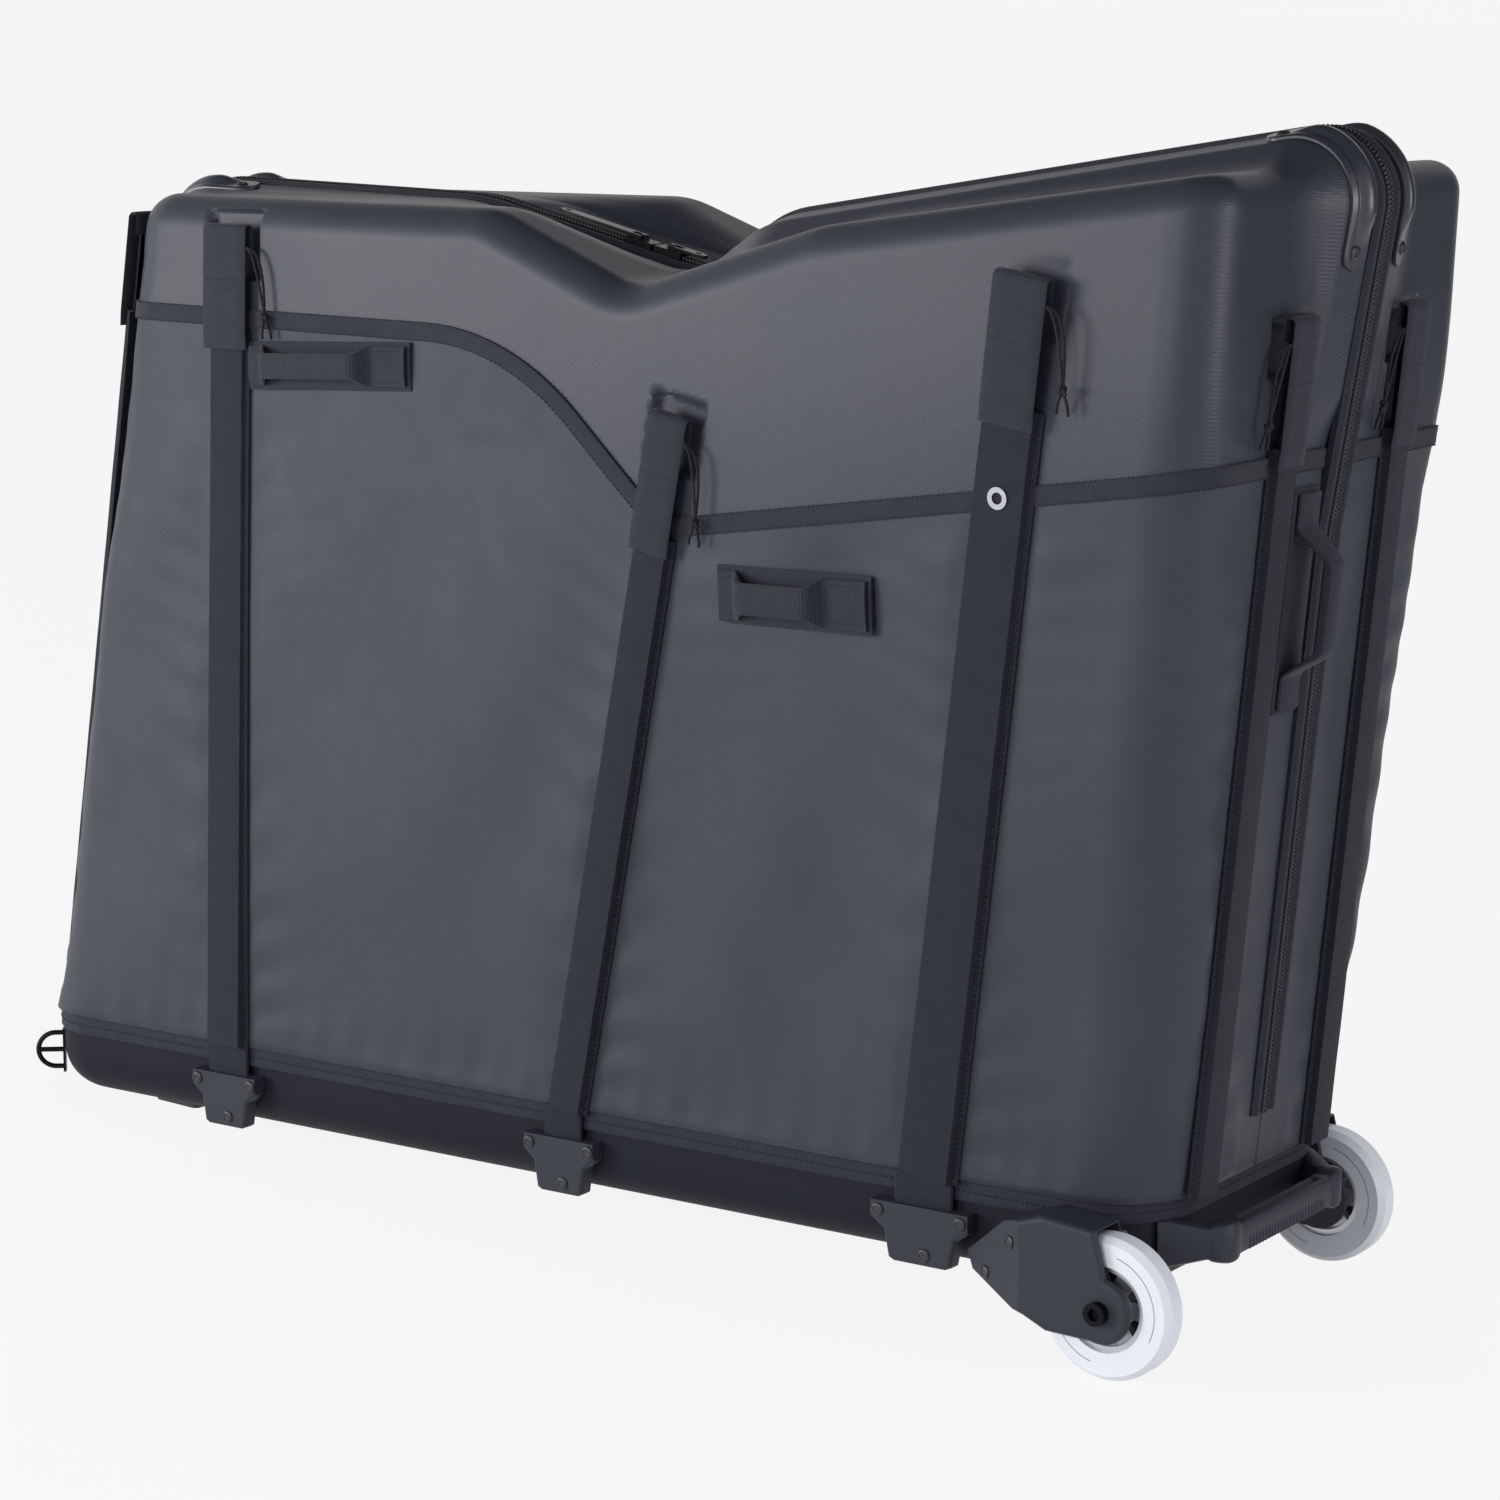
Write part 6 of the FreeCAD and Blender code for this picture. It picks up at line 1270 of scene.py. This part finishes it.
def grip_grids(spot, width, rise, feet):
    """A webbing grip: two flat feet and a raised run between them, folded narrow and thick in its middle."""
    half = spot.length / 2
    slope = rise * SLOPE_SHARE
    corners = ((-half, FOOT_RISE), (-half + feet[0], FOOT_RISE), (-half + feet[0] + slope, rise + RUN_RISE),
               (half - feet[1] - slope, rise + RUN_RISE), (half - feet[1], FOOT_RISE), (half, FOOT_RISE))
    line = rounded_line(corners, GRIP_RADII, GRIP_COUNTS, GRIP_ARC_STEPS)
    run = unit(np.gradient(line, axis=0))
    centres = on_frame(spot, line[:, 0], 0.0, line[:, 1])
    outward = -run[:, 1:2] * spot.w + run[:, :1] * spot.n
    fold = np.clip((line[:, 1] - FOOT_RISE) / (rise + RUN_RISE - FOOT_RISE), 0, 1) ** 1.5
    widths, thicks = width * (1 - FOLD_NARROW * fold), STRAP_FACE + FOLD_THICK * fold
    strap = ribbon(centres, -spot.u, outward, widths, thicks, STRAP_BOW)
    under = on_frame(spot, np.linspace(-half - PATCH.over, half + PATCH.over, PATCH.points), 0.0, PATCH.rise)
    patch = ribbon(under, -spot.u, spot.n, width + 2 * PATCH.over, PATCH.thick)
    return [(strap, True, True), (patch, True, True)]


def cross_box(spot, middle, reach, width):
    """A sewn box with its two diagonals on one foot of a grip."""
    a, b = reach / 2, width / 2
    legs = (((-a, -b), (a, -b)), ((a, -b), (a, b)), ((a, b), (-a, b)), ((-a, b), (-a, -b)),
            ((-a, -b), (a, b)), ((-a, b), (a, -b)))
    bars = []
    for start, end in legs:
        share = np.linspace(0, 1, BOX_POINTS)[:, None]
        flat = np.array(start) + (np.array(end) - np.array(start)) * share
        places = on_frame(spot, flat[:, 0] + middle, flat[:, 1], BOX_RISE)
        along = unit(places[-1] - places[0])
        bars += level_stitches(spot, places, along, sizes().stitch_pitch * BOX_PITCH_SHARE)
    return bars


def dress_grips(name, side, mirrored, spots, widths, rise, feet, node):
    grids, bars = [], []
    for spot, width in zip(spots, widths):
        grids += grip_grids(spot, width, rise, feet)
        for way, foot in zip((-1, 1), feet):
            middle = way * (spot.length / 2 - foot / 2)
            bars += cross_box(spot, middle, foot * BOX_LONG, width * BOX_WIDE)
    make(name, grids, mirrored, STRAP_SHARP, strap_material(), side + "_side", [node])
    make(name + "_stitches", bars, mirrored, THREAD_SHARP, thread_material(), side + "_side")


class CASE_OT_grips(bpy.types.Operator):
    """Webbing grips on the sides and the rear end: a strip along a raised line, sewn with crossed boxes."""
    bl_idname = "case.grips"
    bl_label = "Webbing grips"

    def execute(self, context):
        spots = []
        for start, end in GRIP_SHARES:
            places = [side_place(along_case(x), up_case(z)) for x, z in (start, end)]
            middle = (places[0] + places[1]) / 2
            (x, _, z), reach = middle, SLOPE_REACH
            ahead = side_place(x + reach, z) - side_place(x - reach, z)
            above = side_place(x, z + reach) - side_place(x, z - reach)
            spots.append(grip_frame(*places, np.cross(ahead, above)))
        for side, mirrored in HALVES:
            dress_grips(side + "_grips", side, mirrored, spots, GRIP_WIDTHS, GRIP_RISE, GRIP_FEET,
                        side + "_side_handles")
        heights = (END_GRIP.low, END_GRIP.high)
        ends = [np.array((float(level_value("rear", z)), -END_GRIP.aside, z)) for z in heights]
        rear = grip_frame(*ends, np.array((1.0, 0.0, 0.0)))
        dress_grips("rear_grip", "left", False, [rear], [END_GRIP.width], END_GRIP_RISE, END_GRIP_FEET,
                    "rear_grab_handle")
        return {"FINISHED"}


TRAY = SimpleNamespace(half=0.143, front=1.004, rear=0.015, front_corner=0.055, rear_corner=0.065)
HEM_PROFILE = ((0.0006, 0.0974), (0.0020, 0.0973), (0.0026, 0.0980), (0.0024, 0.1010), (0.0024, 0.1080),
               (0.0026, 0.1110), (0.0020, 0.1117), (0.0006, 0.1117))
HEM_SEAM, HEM_COUNTS, HEM_ARC_STEPS = (0.0026, 0.1045), (60, 30, 110, 30, 60), 14


class CASE_OT_rim_tape(bpy.types.Operator):
    """Rim tape: a bound strip carried round the tray's plan outline, with a stitch line."""
    bl_idname = "case.rim_tape"
    bl_label = "Rim tape"

    def execute(self, context):
        t = TRAY
        start = (-t.front / 2, -t.half)
        corners = (start, (t.rear, -t.half), (t.rear, t.half), (-t.front, t.half), (-t.front, -t.half), start)
        radii = (0, t.rear_corner, t.rear_corner, t.front_corner, t.front_corner, 0)
        line = rounded_line(corners, radii, HEM_COUNTS, HEM_ARC_STEPS)
        run, out = run_and_out(line)
        reach, height = np.array(HEM_PROFILE).T
        spot = line[:, None] + out[:, None] * reach[None, :, None]
        band = np.concatenate((spot, np.broadcast_to(height, spot.shape[:2])[..., None]), -1)
        make("rim_tape", [(band, True, True)], False, TAPE_SHARP, tape_material(), "base",
             ["base_hem"])
        flat = np.zeros((len(line), 1))
        places, run, out = (np.concatenate((part, flat + z), 1) for part, z in (
            (line + out * HEM_SEAM[0], HEM_SEAM[1]), (run, 0), (out, 0)))
        bars = stitches(places, run, out, sizes().stitch_pitch)
        make("rim_tape_stitches", bars, False, THREAD_SHARP, thread_material(), "base")
        return {"FINISHED"}


SOCKET = SimpleNamespace(top=0.090, height=0.042, width=0.063, thick=0.012, wide_share=1.25)
STRAP_DEPTH, STRAP_THICK, HEM_THICK, STRAP_GAP, STRAP_SLACK = 0.020, 0.0044, 0.0024, 0.0005, 0.0006
EAR_SHARES, FOOT_SHARES = (0.425, 0.155), (0.06, 0.80)
TRAY_RIVET = (0.130, 0.089)
BRACKET_RIVETS = ((-0.0715, 0.0851), (-0.0985, 0.0560))
BRACKET_BEND, BRACKET_END, BRACKET_WIDE, BRACKET_NARROW = -0.062, -0.119, 0.180, 0.151


def socket_places():
    """Middle of each side socket's upper edge along the case: the stay's line run on down from the rim."""
    places = []
    for foot, head, high in zip(STAY_FOOT_SHARES, STAY_HEAD_SHARES, FLAP_HIGH_SHARES):
        slope = (head - foot) * (RIM.front + RIM.rear) / (high * (RIDGE_PEAK - RIM.height))
        places.append(along_case(foot) - slope * (RIM.height - SOCKET.top))
    return places


class CASE_OT_strap_ends(bpy.types.Operator):
    """Strap ends in the sockets: a flat strip carried from the rim down into each socket."""
    bl_idname = "case.strap_ends"
    bl_label = "Strap ends"

    def execute(self, context):
        grids = []
        y = -(TRAY.half + SEAT + HEM_THICK + STRAP_THICK / 2 + STRAP_GAP)
        for x, width in zip(socket_places(), SLEEVE_WIDTHS):
            z = np.linspace(SOCKET.top - STRAP_DEPTH + STRAP_GAP, RIM.height - STRAP_GAP, 12)
            centres = np.stack((np.full_like(z, x), np.full_like(z, y), z), -1)
            strip = ribbon(centres, np.array((1.0, 0, 0)), np.array((0, -1.0, 0)), width - STRAP_SLACK,
                           STRAP_THICK - STRAP_SLACK)
            grids += [(strip, True, True), (strip[:, ::-1] * (1, -1, 1), True, True)]
        make("socket_straps", grids, False, STRAP_SHARP, sleeve_material(), "base", ["strap_ends"])
        return {"FINISHED"}


class CASE_OT_rivets(bpy.types.Operator):
    """Rivets on the sockets and the wheel brackets: a domed profile turned about each rivet's axis."""
    bl_idname = "case.rivets"
    bl_label = "Rivets"

    def execute(self, context):
        heads = []
        face = -(TRAY.half + SEAT + SOCKET.thick)
        for index, x in enumerate(socket_places()):
            width = SOCKET.width * (SOCKET.wide_share if index == 2 else 1)
            for across, down in ((-EAR_SHARES[0], EAR_SHARES[1]), EAR_SHARES, FOOT_SHARES):
                heads.append(rivet((x + across * width, face, SOCKET.top - down * SOCKET.height), (0, -1, 0)))
        for x, z in BRACKET_RIVETS:
            inset = np.interp(x, (BRACKET_END, BRACKET_BEND), (BRACKET_NARROW, BRACKET_WIDE))
            slope = (BRACKET_NARROW - BRACKET_WIDE, BRACKET_END - BRACKET_BEND, 0)
            heads.append(rivet((x, -inset, z), slope))
        turn = math.asin((TRAY_RIVET[0] - TRAY.half + TRAY.rear_corner) / TRAY.rear_corner)
        out = np.array((math.cos(turn), -math.sin(turn), 0))
        middle = np.array((TRAY.rear - TRAY.rear_corner, TRAY.rear_corner - TRAY.half, TRAY_RIVET[1]))
        heads.append(rivet(middle + out * TRAY.rear_corner, out))
        for side, mirrored in HALVES:
            make(side + "_rivets", heads, mirrored, STRAP_SHARP, rivet_and_shade_material(), "base")
        return {"FINISHED"}


HANDLE_COUNTS, HANDLE_ARC_STEPS = (8, 60, 8), 10
HANDLE_PATH = ((0.004, -0.108), (0.041, -0.081), (0.041, 0.081), (0.004, 0.108))
HANDLE_RING = ((1.0, 0.0), (1.0, 0.55), (0.93, 0.85), (0.75, 1.0), (0.0, 1.0), (-0.6, 1.0), (-0.88, 0.86),
               (-1.0, 0.5), (-1.0, -0.5), (-0.88, -0.88), (-0.6, -1.0), (0.75, -1.0), (0.93, -0.85),
               (1.0, -0.55))
HANDLE = SimpleNamespace(height=0.081, half=0.0115, flare=0.0055, thick=0.0075, collar=0.0034, groove=0.0030,
                         bend=0.012, grip=0.060, grip_fade=0.006, tooth=0.0046, bite=0.0011, arm=0.088,
                         arm_fade=0.016, collar_at=0.078, collar_half=0.009)


class CASE_OT_pull_handle(bpy.types.Operator):
    """Rear pull handle: a rounded profile carried along a bow in plan, flared at the arms, with a collar at
    each bend, a groove along its top and a row of teeth under the fingers."""
    bl_idname = "case.pull_handle"
    bl_label = "Pull handle"

    def execute(self, context):
        h = HANDLE
        bow = rounded_line(HANDLE_PATH, (0, h.bend, h.bend, 0), HANDLE_COUNTS, HANDLE_ARC_STEPS)
        line = even_line(bow, h.tooth / 4)
        outward = run_and_out(line)[1]
        reach = np.abs(line[:, 1])[:, None]
        arm = np.clip((reach - h.arm) / h.arm_fade, 0, 1)
        collar = np.clip(1 - np.abs(reach - h.collar_at) / h.collar_half, 0, 1) ** 0.5
        grip = np.clip((h.grip - reach) / h.grip_fade, 0, 1)
        up, out = np.array(HANDLE_RING).T
        half = h.half + h.flare * arm + h.collar * collar
        thick = h.thick + h.collar * 0.6 * collar
        z = h.height + half * up - h.groove * (np.abs(out) < 0.1) * (up > 0) * grip
        tooth = h.bite * np.sin(2 * math.pi * line[:, 1:] / h.tooth)
        swell = thick * out + tooth * grip * (up < -0.5) * (up > -0.95) * (out > 0.5)
        spot = line[:, None] + outward[:, None] * swell[..., None]
        grid = np.concatenate((spot, z[..., None]), -1)
        nylon = bpy.data.materials["glass_filled_nylon"]
        make("pull_handle", [(grid, True, True)], False, STRAP_SHARP, nylon, "base",
             ["rear_pull_handle"])
        return {"FINISHED"}


POCKET = SimpleNamespace(depth=0.046, front=0.760, rear=0.190, low=0.138, high=0.500, wall=0.0025,
                         hem=0.030, seat=0.0042, inset=0.0075, sag=0.0012, gap=0.002, columns=60, rows=40)


class CASE_OT_wheel_pockets(bpy.types.Operator):
    """Inner wheel pockets: a cloth face that swells from its sewn edges to the pocket's depth."""
    bl_idname = "case.wheel_pockets"
    bl_label = "Wheel pockets"

    def execute(self, context):
        material = cloth_material("lining_polyester", colours().lining, 0.62)
        ahead = np.linspace(-POCKET.front + POCKET.gap, -POCKET.rear - POCKET.gap, POCKET.columns)
        above = np.linspace(POCKET.low + POCKET.gap, POCKET.high - POCKET.gap / 2, POCKET.rows)
        x, z = np.meshgrid(ahead, above, indexing="ij")
        side = np.clip(np.minimum(x + POCKET.front, -POCKET.rear - x) / POCKET.hem, 0, 1)
        foot = np.clip((z - POCKET.low) / POCKET.hem, 0, 1)
        rise = np.sqrt(1 - (1 - np.minimum(side, foot)) ** 2)
        inner = side_half(x, z) - POCKET.seat - (POCKET.depth - POCKET.inset) * rise
        sag = POCKET.sag * np.sin(x / 0.035) * np.sin(z / 0.05 + x / 0.09) * rise
        face = np.stack((x, -inner + sag, z), -1)[:, ::-1]
        for half, mirrored in HALVES:
            piece = make(half + "_pocket_cloth", [(face, False, False)], mirrored, SKIN_SHARP, material,
                         half + "_side", [half + "_wheel_pocket"])
            thicken(piece, POCKET.wall)
        return {"FINISHED"}


CAMERA_YAW, CAMERA_PITCH = math.radians(34.34), math.radians(10.24)
CAMERA_PLACE, CAMERA_SENSOR, CAMERA_FAR = (1.2639, -2.4401, 0.8964), 36.0, 200.0
LAMPS = (
    ("key", (-2.7, -2.7, 0.85), (-0.30, -0.15, 0.45), 1.6, 78.0),
    ("front", (-0.2, -3.3, 1.05), (0.05, 0.0, 0.40), 1.6, 36.0),
    ("side", (3.1, 0.1, 0.85), (0.1, 0.0, 0.55), 1.2, 24.0),
)
FLAG, FLAG_TOP, OVER, FLOOR_REACH = ((0.9, 3.4), (4.2, 1.6)), 2.6, 3.0, 40.0
FLOOR_GLOW, WORLD_FILL, WORLD_SHOWN = 0.92, 0.42, 0.96


def shown_to_eye(tree):
    """One for rays that show the background: straight from the camera, or by way of metal or glass."""
    ray = add(tree, "ShaderNodeLightPath")
    shown = ray.outputs["Is Camera Ray"]
    for name in ("Is Glossy Ray", "Is Transmission Ray"):
        shown = maths(tree, "MAXIMUM", shown, ray.outputs[name])
    return shown


def level_square(reach, height):
    return [(x * reach, y * reach, height) for x, y in ((-1, -1), (1, -1), (1, 1), (-1, 1))]


def stage_piece(name, corners, material):
    """Squares of the stage as one object, four corners for each."""
    mesh = bpy.data.meshes.new(name)
    mesh.from_pydata(corners, [], np.arange(len(corners)).reshape(-1, 4).tolist())
    mesh.materials.append(material)
    piece = bpy.data.objects.new(name, mesh)
    bpy.context.scene.collection.objects.link(piece)
    return piece


def turned_to(place, rows):
    """Matrix of an object at a place whose own right, up and back directions are the rows."""
    return Matrix.Translation(place) @ Matrix(np.stack(rows, -1).tolist()).to_4x4()


class CASE_OT_stage(bpy.types.Operator):
    """Stage: a pale floor and world, black flags for the gloss, three soft lamps and the camera."""
    bl_idname = "case.stage"
    bl_label = "Stage"

    def execute(self, context):
        scene = context.scene
        scene.view_settings.view_transform = "Standard"
        material = bpy.data.materials.new("studio_floor")
        material.use_nodes = True
        tree = material.node_tree
        tree.nodes.clear()
        pale = linear(colours().floor)
        grain = add(tree, "ShaderNodeTexNoise", {"Scale": 3.0})
        matt = add(tree, "ShaderNodeBsdfDiffuse", {"Color": blend(tree, grain.outputs["Fac"], pale, pale)})
        glow = add(tree, "ShaderNodeEmission", {"Color": pale})
        seen = maths(tree, "MULTIPLY", shown_to_eye(tree), FLOOR_GLOW)
        both = add(tree, "ShaderNodeMixShader", {0: seen, 1: matt.outputs[0], 2: glow.outputs[0]})
        add(tree, "ShaderNodeOutputMaterial", {"Surface": both.outputs[0]})
        stage_piece("floor", level_square(FLOOR_REACH, 0), material)

        material, tree, shader = start_material("black_flag", Base_Color=(0.01, 0.01, 0.01, 1), Roughness=1.0)
        grain = add(tree, "ShaderNodeTexNoise", {"Scale": 8.0})
        bump(tree, shader, grain.outputs["Fac"], 0.002, 0.3)
        side = [(*FLAG[0], 0.0), (*FLAG[1], 0.0), (*FLAG[1], FLAG_TOP), (*FLAG[0], FLAG_TOP)]
        flag = stage_piece("flag", side + level_square(OVER, FLAG_TOP), material)
        flag.visible_camera = False
        flag.visible_diffuse = False
        flag.visible_shadow = False

        world = bpy.data.worlds.new("studio")
        world.use_nodes = True
        tree = world.node_tree
        tree.nodes.clear()
        fill = add(tree, "ShaderNodeBackground", {"Color": (0.92, 0.95, 1.0, 1), "Strength": WORLD_FILL})
        back = add(tree, "ShaderNodeBackground", {"Color": pale, "Strength": WORLD_SHOWN})
        seen = shown_to_eye(tree)
        both = add(tree, "ShaderNodeMixShader", {0: seen, 1: fill.outputs[0], 2: back.outputs[0]})
        add(tree, "ShaderNodeOutputWorld", {"Surface": both.outputs[0]})
        scene.world = world

        for name, place, target, size, power in LAMPS:
            lamp = bpy.data.lights.new(name, "AREA")
            lamp.shape, lamp.size, lamp.energy = "DISK", size, power
            holder = bpy.data.objects.new(name, lamp)
            away = unit(np.array(place) - np.array(target))
            right = unit(np.cross((0, 0, 1), away))
            holder.matrix_world = turned_to(place, (right, np.cross(away, right), away))
            scene.collection.objects.link(holder)

        lens = bpy.data.cameras.new("camera")
        lens.lens, lens.sensor_width, lens.sensor_fit = sizes().lens, CAMERA_SENSOR, "HORIZONTAL"
        lens.clip_end = CAMERA_FAR
        camera = bpy.data.objects.new("camera", lens)
        yaw, pitch = CAMERA_YAW, CAMERA_PITCH
        flat = math.cos(pitch)
        ahead = np.array((-math.sin(yaw) * flat, math.cos(yaw) * flat, -math.sin(pitch)))
        right = np.array((math.cos(yaw), math.sin(yaw), 0.0))
        level = np.stack((right, np.cross(right, ahead), -ahead))
        rows = level[:, :1] * ALONG + level[:, 1:2] * (0, 1, 0) + level[:, 2:] * ABOVE
        camera.matrix_world = turned_to(stand(CAMERA_PLACE).tolist(), rows)
        scene.collection.objects.link(camera)
        scene.camera = camera
        return {"FINISHED"}


OPERATORS = (CASE_OT_stage, CASE_OT_pull_cords, CASE_OT_rigid_finishes, CASE_OT_cloth_sides, CASE_OT_shells,
             CASE_OT_trim_tapes, CASE_OT_zips, CASE_OT_corner_guards, CASE_OT_sleeves, CASE_OT_flaps,
             CASE_OT_grips, CASE_OT_rim_tape, CASE_OT_strap_ends, CASE_OT_rivets, CASE_OT_pull_handle,
             CASE_OT_wheel_pockets)


class CASE_PT_panel(bpy.types.Panel):
    """Lists the operators that dress the case."""
    bl_label = "Bike travel case"
    bl_idname = "CASE_PT_panel"
    bl_space_type = "VIEW_3D"
    bl_region_type = "UI"
    bl_category = "Case"

    def draw(self, context):
        for operator in OPERATORS:
            self.layout.operator(operator.bl_idname)


CLASSES = (CaseSizes, CaseColours, *OPERATORS, CASE_PT_panel)


def register():
    for item in CLASSES:
        bpy.utils.register_class(item)
    bpy.types.Scene.case_sizes = PointerProperty(type=CaseSizes)
    bpy.types.Scene.case_colours = PointerProperty(type=CaseColours)


def unregister():
    del bpy.types.Scene.case_colours
    del bpy.types.Scene.case_sizes
    for item in reversed(CLASSES):
        bpy.utils.unregister_class(item)


def main():
    register()
    for operator in OPERATORS:
        group, name = operator.bl_idname.split(".")
        getattr(getattr(bpy.ops, group), name)()
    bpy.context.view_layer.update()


if __name__ == "__main__":
    main()
